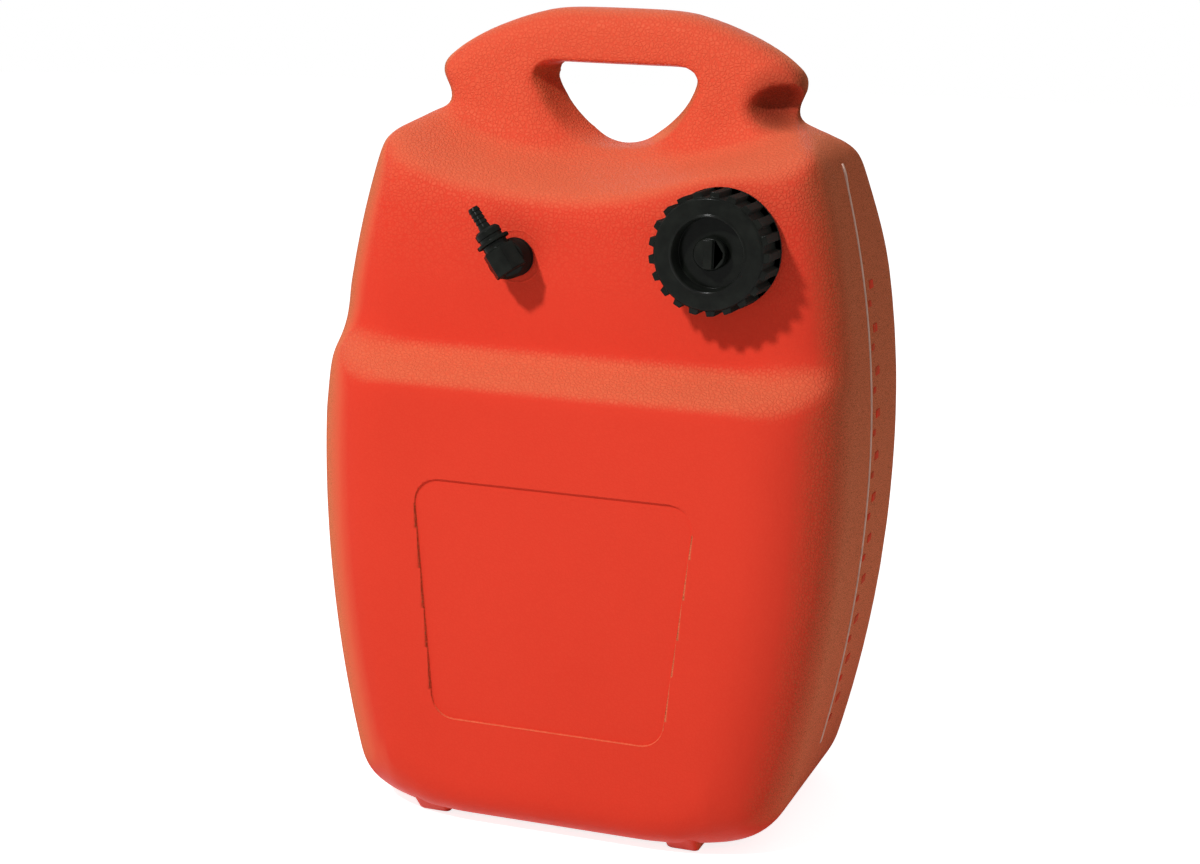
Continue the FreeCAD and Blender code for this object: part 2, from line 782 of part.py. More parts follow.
def filler_cap():
    cap = turned_piece("filler_cap", [
        ("vent_hole", "cap_roof"),
        ("splash_radius - splash_wall - running_clearance - splash_rib_width", "cap_roof"),
        ("splash_radius - splash_wall - running_clearance - splash_rib_width",
         "cap_roof - splash_rib_height"),
        ("splash_radius - splash_wall - running_clearance", "cap_roof - splash_rib_height"),
        ("splash_radius - splash_wall - running_clearance", "cap_roof"),
        ("well_outer", "cap_roof"),
        ("well_outer", "gasket_roof"),
        ("neck_radius + gasket_overhang + thread_clearance", "gasket_roof"),
        ("cap_bore", "gasket_roof + cap_corner_relief"),
        ("cap_bore", "cap_skirt_gap"),
        ("grip_root + tooth_depth + cap_band_proud", "cap_skirt_gap"),
        ("grip_root + tooth_depth + cap_band_proud", "cap_skirt_gap + cap_band"),
        ("grip_root", "cap_skirt_gap + cap_band"),
        ("grip_root", "cap_reach - cap_chamfer"),
        ("grip_root - cap_chamfer", "cap_reach"),
        ("well_mouth + cap_lip_width", "cap_reach"),
        ("well_mouth + cap_lip_width - cap_lip_height", "cap_reach + cap_lip_height"),
        ("well_mouth + cap_lip_height", "cap_reach + cap_lip_height"),
        ("well_mouth", "cap_reach"),
        ("well_outer - cap_well_wall", "cap_floor"),
        ("vent_boss_radius", "cap_floor"),
        ("vent_boss_radius", "vent_boss_top"),
        ("vent_hole", "vent_boss_top"),
    ], **CAP_PLACE)
    tooth_sketch = new_sketch(cap, "tooth_profile", "XY_Plane", "cap_skirt_gap + cap_band / 2")
    draw_outline(tooth_sketch, [
        ("grip_root - thread_clearance", "-tooth_root_width / 2"),
        ("grip_root + tooth_depth", "-tooth_tip_width / 2"),
        ("grip_root + tooth_depth", "tooth_tip_width / 2"),
        ("grip_root - thread_clearance", "tooth_root_width / 2"),
    ])
    tooth_length = "cap_reach - 1.5 * cap_chamfer - cap_skirt_gap - cap_band / 2"
    tooth = pad(cap, "tooth", tooth_sketch, tooth_length)
    doc.recompute()
    teeth = cap.newObject("PartDesign::PolarPattern", "teeth")
    teeth.Originals = [tooth]
    teeth.Axis = (tooth_sketch, ["N_Axis"])
    teeth.Angle = 360.0
    bind(teeth, "Occurrences", "tooth_count")
    cap.Tip = teeth
    doc.recompute()
    thread_sketch = new_sketch(cap, "thread_profile", "XZ_Plane")
    middle = "(neck_thread_start - thread_pitch / 2 + thread_pull)"
    draw_outline(thread_sketch, [
        ("cap_bore + thread_clearance", f"{middle} - thread_base / 2"),
        ("cap_bore + thread_clearance", f"{middle} + thread_base / 2"),
        ("cap_bore - thread_height", f"{middle} + thread_crest / 2"),
        ("cap_bore - thread_height", f"{middle} - thread_crest / 2"),
    ])
    thread = cap.newObject("PartDesign::AdditiveHelix", "cap_thread")
    thread.Profile = thread_sketch
    thread.ReferenceAxis = (thread_sketch, ["V_Axis"])
    thread.Mode = "pitch-turns-angle"
    bind(thread, "Pitch", "thread_pitch")
    bind(thread, "Turns", "cap_thread_turns")
    cap.Tip = thread
    return cap


def cap_gasket():
    return turned_piece("cap_gasket", [
        ("neck_bore - gasket_inset", "neck_reach"),
        ("neck_radius + gasket_overhang", "neck_reach"),
        ("neck_radius + gasket_overhang", "gasket_roof"),
        ("neck_bore - gasket_inset", "gasket_roof"),
    ], **CAP_PLACE)


def splash_cup():
    cup = turned_piece("splash_cup", [
        ("splash_drain_radius", "cap_roof - splash_depth"),
        ("splash_radius", "cap_roof - splash_depth"),
        ("splash_radius", "cap_roof"),
        ("splash_radius - splash_wall", "cap_roof"),
        ("splash_radius - splash_wall", "cap_roof - splash_depth + splash_wall"),
        ("splash_drain_radius", "cap_roof - splash_depth + splash_wall"),
    ], **CAP_PLACE)
    return cup


# ---------------------------------------------------------------- vent screw

KNOB_BASE = "(vent_boss_top + vent_knob_gap)"
KNOB_TOP = "(vent_boss_top + vent_knob_gap + vent_knob_height)"
RING_POCKET = "(vent_screw_radius + 2 * vent_ring_section + 3 * vent_knob_gap)"
SCREW_TIP = "(cap_roof - vent_tail)"
GROOVE_START = "(cap_roof - vent_tail + vent_groove_end)"


def vent_knob():
    pocket_top = "vent_boss_top + 2 * (vent_ring_section + vent_ring_gap)"
    knob = turned_piece("vent_knob", [
        (RING_POCKET, KNOB_BASE),
        ("vent_knob_radius", KNOB_BASE),
        ("vent_knob_radius", f"{KNOB_TOP} - cap_chamfer"),
        ("vent_knob_radius - cap_chamfer", KNOB_TOP),
        ("0 * wall", KNOB_TOP),
        ("0 * wall", f"{KNOB_TOP} - vent_knob_roof"),
        ("vent_hole", f"{KNOB_TOP} - vent_knob_roof"),
        ("vent_hole", pocket_top),
        (RING_POCKET, pocket_top),
    ], **CAP_PLACE)
    bar_sketch = new_sketch(knob, "bar_profile", "XY_Plane", f"{KNOB_TOP} - vent_knob_roof / 2")
    draw_outline(bar_sketch, [
        ("-vent_bar_width / 2", "-vent_bar_length / 2"),
        ("vent_bar_width / 2", "-vent_bar_length / 2"),
        ("vent_bar_width / 2", "vent_bar_length / 2"),
        ("-vent_bar_width / 2", "vent_bar_length / 2"),
    ])
    pad(knob, "bar", bar_sketch, "vent_bar_height + vent_knob_roof / 2")
    return knob


def vent_screw():
    waist = "vent_screw_radius - vent_groove_depth"
    groove_end = f"{GROOVE_START} + vent_groove_width"
    return turned_piece("vent_screw", [
        ("0 * wall", SCREW_TIP),
        ("vent_screw_radius", SCREW_TIP),
        ("vent_screw_radius", GROOVE_START),
        (waist, GROOVE_START),
        (waist, groove_end),
        ("vent_screw_radius", groove_end),
        ("vent_screw_radius", f"{KNOB_TOP} - vent_knob_roof - running_clearance"),
        ("0 * wall", f"{KNOB_TOP} - vent_knob_roof - running_clearance"),
    ], **CAP_PLACE)


def vent_retainer():
    low = f"{GROOVE_START} + (vent_groove_width - retainer_thickness) / 2"
    high = f"{GROOVE_START} + (vent_groove_width + retainer_thickness) / 2"
    inner = "vent_screw_radius - vent_groove_depth + running_clearance"
    return turned_piece("vent_retainer", [
        (inner, low),
        ("retainer_radius", low),
        ("retainer_radius", high),
        (inner, high),
    ], **CAP_PLACE)


def vent_o_ring():
    return ring_seal(
        "vent_o_ring",
        "vent_screw_radius + vent_ring_section + vent_knob_gap",
        "vent_boss_top + vent_ring_section + vent_ring_gap",
        "vent_ring_section", **CAP_PLACE)


# ---------------------------------------------------------------- outlet on the tank

def outlet_insert():
    """Threaded bush moulded into the tank's collar."""
    middle = "(outlet_boss_height - insert_length / 2)"
    inner = "shank_radius + running_clearance"
    return turned_piece("outlet_insert", [
        (inner, "outlet_boss_height - insert_length"),
        ("insert_radius", "outlet_boss_height - insert_length"),
        ("insert_radius", f"{middle} - insert_groove_width / 2"),
        ("insert_radius - insert_groove_depth", f"{middle} - insert_groove_width / 2"),
        ("insert_radius - insert_groove_depth", f"{middle} + insert_groove_width / 2"),
        ("insert_radius", f"{middle} + insert_groove_width / 2"),
        ("insert_radius", "outlet_boss_height"),
        (inner, "outlet_boss_height"),
    ], **OUTLET_PLACE)


def outlet_gasket():
    return turned_piece("outlet_gasket", [
        ("shank_radius + seat_gap", "outlet_boss_height"),
        ("outlet_gasket_radius", "outlet_boss_height"),
        ("outlet_gasket_radius", "gasket_top"),
        ("shank_radius + seat_gap", "gasket_top"),
    ], **OUTLET_PLACE)


RING_FLOOR = "(spigot_radius - 2 * ring_section)"
CLIP_FLOOR = "(spigot_radius - clip_groove_depth)"


def outlet_adapter():
    """Screwed adapter: hose tail inside the tank, flange and plain spigot outside."""
    ring_start = "flange_top + ring_groove_start"
    clip_start = "flange_top + clip_groove_start"
    clip_end = f"{clip_start} + clip_thickness + 2 * running_clearance"
    return turned_piece("outlet_adapter", [
        ("waterway_radius", "tail_start - tail_length"),
        ("tail_radius", "tail_start - tail_length"),
        ("tail_radius", "tail_start"),
        ("shank_radius", "tail_start"),
        ("shank_radius", "gasket_top"),
        ("flange_radius", "gasket_top"),
        ("flange_radius", "flange_top"),
        ("spigot_radius", "flange_top"),
        ("spigot_radius", ring_start),
        (RING_FLOOR, ring_start),
        (RING_FLOOR, f"{ring_start} + ring_groove_width"),
        ("spigot_radius", f"{ring_start} + ring_groove_width"),
        ("spigot_radius", clip_start),
        (CLIP_FLOOR, clip_start),
        (CLIP_FLOOR, clip_end),
        ("spigot_radius", clip_end),
        ("spigot_radius", "flange_top + spigot_length"),
        ("waterway_radius", "flange_top + spigot_length"),
    ], **OUTLET_PLACE)


def elbow_o_ring():
    return ring_seal(
        "elbow_o_ring",
        "spigot_radius - ring_section",
        "flange_top + ring_groove_start + ring_groove_width / 2",
        "ring_section", **OUTLET_PLACE)


def elbow_circlip():
    low = "flange_top + clip_groove_start + running_clearance"
    return turned_piece("elbow_circlip", [
        (f"{CLIP_FLOOR} + running_clearance", low),
        ("spigot_radius + clip_reach", low),
        ("spigot_radius + clip_reach", f"{low} + clip_thickness"),
        (f"{CLIP_FLOOR} + running_clearance", f"{low} + clip_thickness"),
    ], **OUTLET_PLACE)


# ---------------------------------------------------------------- swivelling elbow and barb

TILT = size("elbow_angle")
ELBOW_TURN = OUTWARD * Rotation(Vector(0, 0, 1), TILT)
ALONG_TURN = ELBOW_TURN * Rotation(Vector(1, 0, 0), -90)
ELBOW_PLACE = dict(OUTLET_PLACE, turn=ELBOW_TURN)
ALONG_PLACE = {
    "across": "outlet_across",
    "depth": FACE_DEPTH + " - elbow_axis_reach",
    "level": "outlet_level",
    "turn": ALONG_TURN,
}


def side_circle(body, name, radius, start):
    """Circle round the outlet's axis, at a distance along it."""
    sketch = new_sketch(body, name, "XZ_Plane", f"-({start})")
    draw_circle(sketch, "0 * wall", "elbow_axis_reach", radius)
    return sketch


HEX_CORNER_RATIO = 0.57735


def outlet_elbow():
    pocket_floor = "flange_top + clip_groove_start - seat_gap"
    pocket_roof = "flange_top + spigot_length + seat_gap"
    elbow = turned_piece("outlet_elbow", [
        ("elbow_bore", "flange_top + seat_gap"),
        ("elbow_radius", "flange_top + seat_gap"),
        ("elbow_radius", "elbow_head_reach - elbow_chamfer"),
        ("elbow_radius - elbow_chamfer", "elbow_head_reach"),
        ("0 * wall", "elbow_head_reach"),
        ("0 * wall", pocket_roof),
        ("elbow_pocket_radius", pocket_roof),
        ("elbow_pocket_radius", pocket_floor),
        ("elbow_bore", pocket_floor),
    ], **ELBOW_PLACE)
    hex_sketch = new_sketch(elbow, "hex_profile", "XZ_Plane")
    corner = f"elbow_hex_flats * {HEX_CORNER_RATIO}"
    draw_outline(hex_sketch, [
        (corner, "elbow_axis_reach"),
        (f"{corner} / 2", "elbow_axis_reach + elbow_hex_flats / 2"),
        (f"-({corner} / 2)", "elbow_axis_reach + elbow_hex_flats / 2"),
        (f"-({corner})", "elbow_axis_reach"),
        (f"-({corner} / 2)", "elbow_axis_reach - elbow_hex_flats / 2"),
        (f"{corner} / 2", "elbow_axis_reach - elbow_hex_flats / 2"),
    ])
    pad(elbow, "hex_block", hex_sketch, "2 * elbow_hex_half_length", symmetric=True)
    neck = side_circle(elbow, "neck_profile", "elbow_neck_radius", "elbow_hex_half_length")
    pad(elbow, "neck", neck, "elbow_neck_length", reverse=True)
    start = "elbow_hex_half_length + elbow_neck_length"
    thread = side_circle(elbow, "thread_profile", "elbow_thread_radius", start)
    pad(elbow, "threaded_end", thread, "elbow_thread_length", reverse=True)
    pocket = elbow.newObject("PartDesign::Pocket", "swivel_pocket")
    clear = new_sketch(elbow, "pocket_profile", "XY_Plane", "flange_top")
    draw_circle(clear, "0 * wall", "0 * wall", "elbow_bore")
    pocket.Profile = clear
    pocket.Length = size("spigot_length + seat_gap")
    bind(pocket, "Length", "spigot_length + seat_gap")
    pocket.Reversed = True
    widen = new_sketch(elbow, "clip_room_profile", "XY_Plane", pocket_floor)
    draw_circle(widen, "0 * wall", "0 * wall", "elbow_pocket_radius")
    room = elbow.newObject("PartDesign::Pocket", "clip_room")
    room.Profile = widen
    bind(room, "Length", f"{pocket_roof} - ({pocket_floor})")
    room.Reversed = True
    bore = side_circle(elbow, "bore_profile", "waterway_radius", "0 * wall")
    channel = elbow.newObject("PartDesign::Pocket", "channel")
    channel.Profile = bore
    channel.Length = size("thread_end + 2")
    bind(channel, "Length", "thread_end + 2")
    channel.Reversed = False
    return elbow


def barb_seal():
    return turned_piece("barb_seal", [
        ("waterway_radius + seat_gap", "thread_end"),
        ("elbow_thread_radius - seat_gap", "thread_end"),
        ("elbow_thread_radius - seat_gap", "thread_end + barb_seal_thickness"),
        ("waterway_radius + seat_gap", "thread_end + barb_seal_thickness"),
    ], **ALONG_PLACE)


COLLAR_TOP = "(thread_end + barb_seal_thickness + barb_collar_thickness)"
NUT_HEAD = "(nut_start + nut_flange_thickness + nut_waist_length)"
NUT_TOP = "(nut_start + nut_flange_thickness + nut_waist_length + nut_head_length)"
BARB_START = f"({NUT_TOP} + nut_plate + 2 * running_clearance)"


def barb_nut():
    hole = "barb_radius + 4 * running_clearance"
    return turned_piece("barb_nut", [
        ("elbow_thread_radius + running_clearance", "nut_start"),
        ("nut_flange_radius", "nut_start"),
        ("nut_flange_radius", "nut_start + nut_flange_thickness"),
        ("nut_waist_radius", "nut_start + nut_flange_thickness"),
        ("nut_waist_radius", NUT_HEAD),
        ("nut_head_radius", NUT_HEAD),
        ("nut_head_radius", NUT_TOP),
        ("nut_head_radius - nut_plate", f"{NUT_TOP} + nut_plate"),
        (hole, f"{NUT_TOP} + nut_plate"),
        (hole, f"{COLLAR_TOP} + 2 * running_clearance"),
        ("elbow_thread_radius + running_clearance", f"{COLLAR_TOP} + 2 * running_clearance"),
    ], **ALONG_PLACE)


def hose_barb():
    """Hose barb: a collar held by the nut, a slimmer neck, then saw-tooth ribs up to the tip."""
    corners = [
        ("barb_bore_radius", "thread_end + barb_seal_thickness"),
        ("elbow_thread_radius - seat_gap", "thread_end + barb_seal_thickness"),
        ("elbow_thread_radius - seat_gap", COLLAR_TOP),
        ("barb_radius - barb_relief", COLLAR_TOP),
        ("barb_radius - barb_relief", BARB_START),
        ("barb_radius", BARB_START),
    ]
    count = int(size("barb_ribs"))
    for rib in range(count):
        start = f"barb_reach - {count - rib} * barb_rib_pitch"
        if rib == 0:
            corners.append(("barb_radius", start))
        else:
            corners.append(("barb_valley_radius", start))
            corners.append(("barb_radius", start))
    corners.append(("barb_valley_radius", "barb_reach"))
    corners.append(("barb_bore_radius", "barb_reach"))
    return turned_piece("hose_barb", corners, **ALONG_PLACE)


# ---------------------------------------------------------------- pick-up inside the tank

TUBE_START = f"({FACE_DEPTH} - (tail_start) + seat_gap)"
STRAINER_TOP = "(strainer_base + strainer_foot_thickness + strainer_height)"
TUBE_END = f"({STRAINER_TOP} + seat_gap)"
UP = Rotation()
STRAINER_PLACE = {"across": "outlet_across", "depth": "0 * wall", "level": "strainer_base", "turn": UP}


def pickup_tube():
    tube = new_body("pickup_tube", across="outlet_across")
    path = new_sketch(tube, "tube_path", "YZ_Plane")
    radius = size("tube_bend_radius")
    level = size("outlet_level")
    start = Vector(size(TUBE_START), level, 0)
    bend_start = Vector(-radius, level, 0)
    bend_end = Vector(0, level - radius, 0)
    centre = Vector(-radius, level - radius, 0)
    end = Vector(0, size(TUBE_END), 0)
    path.addGeometry(Part.LineSegment(start, bend_start), False)
    circle = Part.Circle(centre, Vector(0, 0, 1), radius)
    path.addGeometry(Part.ArcOfCircle(circle, 0, math.pi / 2), False)
    path.addGeometry(Part.LineSegment(bend_end, end), False)
    path.addConstraint(Sketcher.Constraint("Tangent", 0, 2, 1, 2))
    path.addConstraint(Sketcher.Constraint("Tangent", 1, 1, 2, 1))
    pin_point(path, 0, 1, TUBE_START, "outlet_level")
    path.addConstraint(Sketcher.Constraint("Horizontal", 0))
    pin_point(path, 2, 2, "0 * wall", TUBE_END)
    path.addConstraint(Sketcher.Constraint("Vertical", 2))
    bend = path.addConstraint(Sketcher.Constraint("Radius", 1, radius))
    bind(path, f"Constraints[{bend}]", "tube_bend_radius")
    ring = new_sketch(tube, "tube_ring", "XZ_Plane", f"-({TUBE_START})")
    draw_circle(ring, "0 * wall", "outlet_level", "tube_radius")
    draw_circle(ring, "0 * wall", "outlet_level", "tube_bore")
    doc.recompute()
    pipe = tube.newObject("PartDesign::AdditivePipe", "tube_pipe")
    pipe.Profile = ring
    pipe.Spine = (path, ["Edge1", "Edge2", "Edge3"])
    return tube


def hose_clip(label, **place):
    """Spring band round the tube, with the two ends bent up as one ear."""
    clip = turned_piece(label, [
        ("tube_radius + running_clearance", "-clip_width / 2"),
        ("tube_radius + running_clearance + clip_wall", "-clip_width / 2"),
        ("tube_radius + running_clearance + clip_wall", "clip_width / 2"),
        ("tube_radius + running_clearance", "clip_width / 2"),
    ], **place)
    ear = new_sketch(clip, label + "_ear_profile", "XY_Plane")
    inner = "tube_radius + running_clearance + clip_wall / 2"
    draw_outline(ear, [
        (inner, "-clip_ear_width / 2"),
        (f"{inner} + clip_ear_height", "-clip_ear_width / 2"),
        (f"{inner} + clip_ear_height", "clip_ear_width / 2"),
        (inner, "clip_ear_width / 2"),
    ])
    pad(clip, label + "_ear", ear, "clip_width", symmetric=True)
    return clip


def strainer_body():
    """Cage of the strainer with four windows and a spigot up into the tube."""
    base = "strainer_foot_thickness"
    top = "(strainer_foot_thickness + strainer_height)"
    inner = "strainer_radius - strainer_wall"
    cage = turned_piece("strainer_body", [
        (inner, base),
        ("strainer_radius", base),
        ("strainer_radius", f"{top} - strainer_cone"),
        ("tube_radius + strainer_wall", top),
        ("tail_radius", top),
        ("tail_radius", f"{top} + tail_length"),
        ("waterway_radius", f"{top} + tail_length"),
        ("waterway_radius", f"{top} - strainer_wall"),
        (inner, f"{top} - strainer_cone - strainer_wall"),
    ], **STRAINER_PLACE)
    for plane in ("XZ_Plane", "YZ_Plane"):
        window = new_sketch(cage, "window_" + plane[:2].lower(), plane)
        low = f"{base} + strainer_window_margin"
        high = f"{top} - strainer_cone - strainer_window_margin"
        draw_outline(window, [
            ("-strainer_window_width / 2", low),
            ("strainer_window_width / 2", low),
            ("strainer_window_width / 2", high),
            ("-strainer_window_width / 2", high),
        ])
        pocket_through(cage, "windows_" + plane[:2].lower(), window)
    return cage


MESH_RADIUS = "(strainer_radius - strainer_wall - running_clearance)"


def strainer_mesh():
    low = "strainer_foot_thickness + running_clearance"
    high = "strainer_foot_thickness + strainer_height - strainer_cone - strainer_wall - seat_gap"
    return turned_piece("strainer_mesh", [
        (f"{MESH_RADIUS} - mesh_thickness", low),
        (MESH_RADIUS, low),
        (MESH_RADIUS, high),
        (f"{MESH_RADIUS} - mesh_thickness", high),
    ], **STRAINER_PLACE)


def strainer_foot():
    plug = f"{MESH_RADIUS} - mesh_thickness - running_clearance"
    return turned_piece("strainer_foot", [
        ("0 * wall", "0 * wall"),
        ("strainer_foot_radius", "0 * wall"),
        ("strainer_foot_radius", "strainer_foot_thickness"),
        (plug, "strainer_foot_thickness"),
        (plug, "strainer_foot_thickness + strainer_plug_height"),
        ("0 * wall", "strainer_foot_thickness + strainer_plug_height"),
    ], **STRAINER_PLACE)


# ---------------------------------------------------------------- assembly

pieces = [
    tank,
    filler_cap(),
    cap_gasket(),
    splash_cup(),
    vent_knob(),
    vent_screw(),
    vent_retainer(),
    vent_o_ring(),
    outlet_insert(),
    outlet_gasket(),
    outlet_adapter(),
    elbow_o_ring(),
    elbow_circlip(),
    outlet_elbow(),
    barb_seal(),
    barb_nut(),
    hose_barb(),
    pickup_tube(),
    hose_clip("upper_hose_clip", across="outlet_across",
              depth=f"{TUBE_START} + tail_length / 2", level="outlet_level",
              turn=Rotation(Vector(1, 0, 0), 90)),
    hose_clip("lower_hose_clip", across="outlet_across",
              level=f"{TUBE_END} + tail_length / 2"),
    strainer_body(),
    strainer_mesh(),
    strainer_foot(),
]
doc.recompute()

failed = [item.Name for item in doc.Objects if {"Invalid", "Error"} & set(item.State)]
if failed:
    raise RuntimeError("failed: " + ", ".join(failed))
for piece in pieces:
    if piece.Shape.isNull() or not piece.Shape.isValid() or len(piece.Shape.Solids) != 1:
        raise RuntimeError(f"{piece.Label}: {len(piece.Shape.Solids)} solids, not one valid solid")

os.makedirs("parts", exist_ok=True)
for piece in pieces:
    piece.Shape.exportStep(os.path.join("parts", piece.Label + ".step"))
    box = piece.Shape.BoundBox
    print(f"{piece.Label}: volume {piece.Shape.Volume:.0f}, "
          f"x {box.XMin:.1f} {box.XMax:.1f}, y {box.YMin:.1f} {box.YMax:.1f}, z {box.ZMin:.1f} {box.ZMax:.1f}")
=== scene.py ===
import math

import bpy
from bpy.props import FloatProperty, FloatVectorProperty, IntProperty, PointerProperty
from bpy.types import Operator, Panel, PropertyGroup
from mathutils import Matrix, Vector


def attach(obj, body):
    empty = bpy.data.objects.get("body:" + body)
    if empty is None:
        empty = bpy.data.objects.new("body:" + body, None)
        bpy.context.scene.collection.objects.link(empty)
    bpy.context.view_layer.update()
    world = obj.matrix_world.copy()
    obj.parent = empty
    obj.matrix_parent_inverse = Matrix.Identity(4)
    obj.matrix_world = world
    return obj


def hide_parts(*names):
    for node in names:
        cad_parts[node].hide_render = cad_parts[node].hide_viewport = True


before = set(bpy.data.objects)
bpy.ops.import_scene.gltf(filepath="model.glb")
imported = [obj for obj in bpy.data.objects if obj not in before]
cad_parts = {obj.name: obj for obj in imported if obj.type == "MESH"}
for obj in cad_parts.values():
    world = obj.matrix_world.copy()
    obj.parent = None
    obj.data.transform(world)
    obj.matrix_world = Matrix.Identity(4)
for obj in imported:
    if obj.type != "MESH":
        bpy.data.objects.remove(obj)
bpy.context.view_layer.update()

bl_info = {
    "name": "Portable fuel tank builder",
    "version": (1, 0, 0),
    "blender": (4, 5, 0),
    "location": "View3D > Sidebar > Fuel tank",
    "description": "Models the visible pieces and finishes of a portable outboard fuel tank",
    "category": "Object",
}

MM = 0.001
NEAR = MM / 100     # closer than this, two places are the same
TANK, CAP, VENT, ELBOW = "tank", "cap", "vent", "elbow"

# Places on the tank: the middle of the filler's and the outlet's openings, and the deepest part of
# the hollow under the handle's right lug.
FILLER = Vector((0.0921, -0.0823, 0.3788))
OUTLET = Vector((-0.0380, -0.0823, 0.3650))
HOLLOW_END = (0.104, -0.010, 0.4620)

# The sides are two shallow arcs that meet at the widest level. The base is a little above the
# ground, because the tank stands on its runners.
WIDEST_LEVEL = 0.240
UPPER_ARC, LOWER_ARC = 0.640, 0.804
BASE_LEVEL = 0.004

# Half the size of a cutter that reaches well past the tank.
BEYOND = 0.3


# ---------------------------------------------------------------- sizes and colours

class TankSizes(PropertyGroup):
    """Sizes of the moulded tank."""
    half_width: FloatProperty(
        name="Half width", description="From the middle to the widest level of a side",
        default=0.1708, unit="LENGTH", precision=4)
    half_depth: FloatProperty(
        name="Half depth", description="From the parting line to the front or back face",
        default=0.114, unit="LENGTH", precision=4)
    height: FloatProperty(
        name="Height", description="From the ground to the top of the handle",
        default=0.515, unit="LENGTH", precision=4)
    upper_face: FloatProperty(
        name="Upper face", description="Depth of the face that carries the cap and the outlet",
        default=-0.0823, unit="LENGTH", precision=4)
    edge_radius: FloatProperty(
        name="Upright edges",
        description="Radius of the round edges of the upper face and the back",
        default=0.040, unit="LENGTH", precision=4)
    front_radius: FloatProperty(
        name="Front edges", description="Radius of the upright edges of the lower front",
        default=0.055, unit="LENGTH", precision=4)
    base_radius: FloatProperty(
        name="Base edges", description="Radius of the edges under the front and the back",
        default=0.030, unit="LENGTH", precision=4)
    voxel: FloatProperty(
        name="Mesh size", description="Grid of the moulded skin",
        default=0.0028, unit="LENGTH", precision=4)
    soften_passes: IntProperty(
        name="Softening", description="How often the moulded edges are smoothed", default=22, min=0)
    handle_half: FloatProperty(
        name="Handle half thickness", description="From the parting line to the handle's face",
        default=0.020, unit="LENGTH", precision=4)
    handle_radius: FloatProperty(
        name="Handle edges", description="Radius of the handle's outer edges",
        default=0.014, unit="LENGTH", precision=4)
    back_shoulder: FloatProperty(
        name="Back shoulders", description="Radius of the back's edges at the shoulders",
        default=0.066, unit="LENGTH", precision=4)


class TankColours(PropertyGroup):
    """Colours of the finishes."""
    tank: FloatVectorProperty(
        name="Tank", description="Moulded tank",
        subtype="COLOR", size=3,
        default=(0.760, 0.050, 0.026), min=0, max=1)
    tank_deep: FloatVectorProperty(
        name="Tank, deeper", description="Darker mottling in the tank",
        subtype="COLOR", size=3,
        default=(0.735, 0.047, 0.024), min=0, max=1)
    # Painted sheen: orange in place of the light's sheen on faces that look up, on the handle, and
    # on sides seen at a grazing angle.
    cast: FloatVectorProperty(
        name="Tank, painted sheen", description="Painted orange sheen of faces that look up or are seen at a grazing angle",
        subtype="COLOR", size=3,
        default=(0.87, 0.213, 0.098), min=0, max=1)
    # Painted highlight: lighter tops of the pebbles in place of the light's glint on them.
    pebble_highlight: FloatVectorProperty(
        name="Tank, painted pebble highlight", description="Painted highlight on the tops of the pebbles",
        subtype="COLOR", size=3,
        default=(1.0, 0.30, 0.14), min=0, max=1)
    # Dark specks between the pebbles, also used as painted shade towards the top of the sides.
    speckle_and_shade: FloatVectorProperty(
        name="Tank, speckle", description="Dark specks between the pebbles of the sides, and painted shade towards their top",
        subtype="COLOR", size=3, default=(0.36, 0.090, 0.032), min=0, max=1)
    # Painted shade in the hollow under the handle's right lug.
    painted_hollow_shade: FloatVectorProperty(
        name="Painted hollow shade", description="Painted shade in the hollow under the handle's right lug",
        subtype="COLOR", size=3, default=(0.16, 0.022, 0.010), min=0, max=1)
    mark: FloatVectorProperty(
        name="Level marks", description="Marks of the level scale",
        subtype="COLOR", size=3,
        default=(0.80, 0.050, 0.022), min=0, max=1)
    parting: FloatVectorProperty(
        name="Parting line", description="Pale flash along the parting line",
        subtype="COLOR", size=3,
        default=(0.80, 0.53, 0.42), min=0, max=1)
    fitting: FloatVectorProperty(
        name="Fittings", description="Black moulded fittings",
        subtype="COLOR", size=3,
        default=(0.0045, 0.0052, 0.0042), min=0, max=1)
    floor: FloatVectorProperty(
        name="Floor", description="Plain pale floor",
        subtype="COLOR", size=3,
        default=(0.90, 0.90, 0.90), min=0, max=1)


# ---------------------------------------------------------------- modelling tools

def deselect():
    """Leave edit mode and select nothing."""
    if bpy.context.object and bpy.context.object.mode != "OBJECT":
        bpy.ops.object.mode_set(mode="OBJECT")
    bpy.ops.object.select_all(action="DESELECT")


def focus(piece):
    """Make one piece the only selected and active one."""
    deselect()
    piece.select_set(True)
    bpy.context.view_layer.objects.active = piece
    return piece


def primitive(kind, name, **settings):
    """Add a primitive with nothing else selected, and name it."""
    deselect()
    getattr(bpy.ops.mesh, f"primitive_{kind}_add")(**settings)
    piece = bpy.context.object
    piece.name = name
    piece.data.name = name
    return piece


def edit_all(piece):
    """Go into edit mode on the piece with all of its mesh selected."""
    focus(piece)
    bpy.ops.object.mode_set(mode="EDIT")
    bpy.ops.mesh.select_all(action="SELECT")


def outward(piece):
    """Point every face outwards."""
    edit_all(piece)
    bpy.ops.mesh.normals_make_consistent(inside=False)
    bpy.ops.object.mode_set(mode="OBJECT")


def apply(piece, kind, **settings):
    """Add a modifier with those settings and apply it."""
    focus(piece)
    modifier = piece.modifiers.new(kind.title(), kind)
    for key, value in settings.items():
        setattr(modifier, key, value)
    bpy.ops.object.modifier_apply(modifier=modifier.name)


def combine(piece, tool, operation):
    """Boolean that uses the tool up."""
    apply(piece, "BOOLEAN", operation=operation, solver="MANIFOLD", object=tool)
    bpy.data.objects.remove(tool)


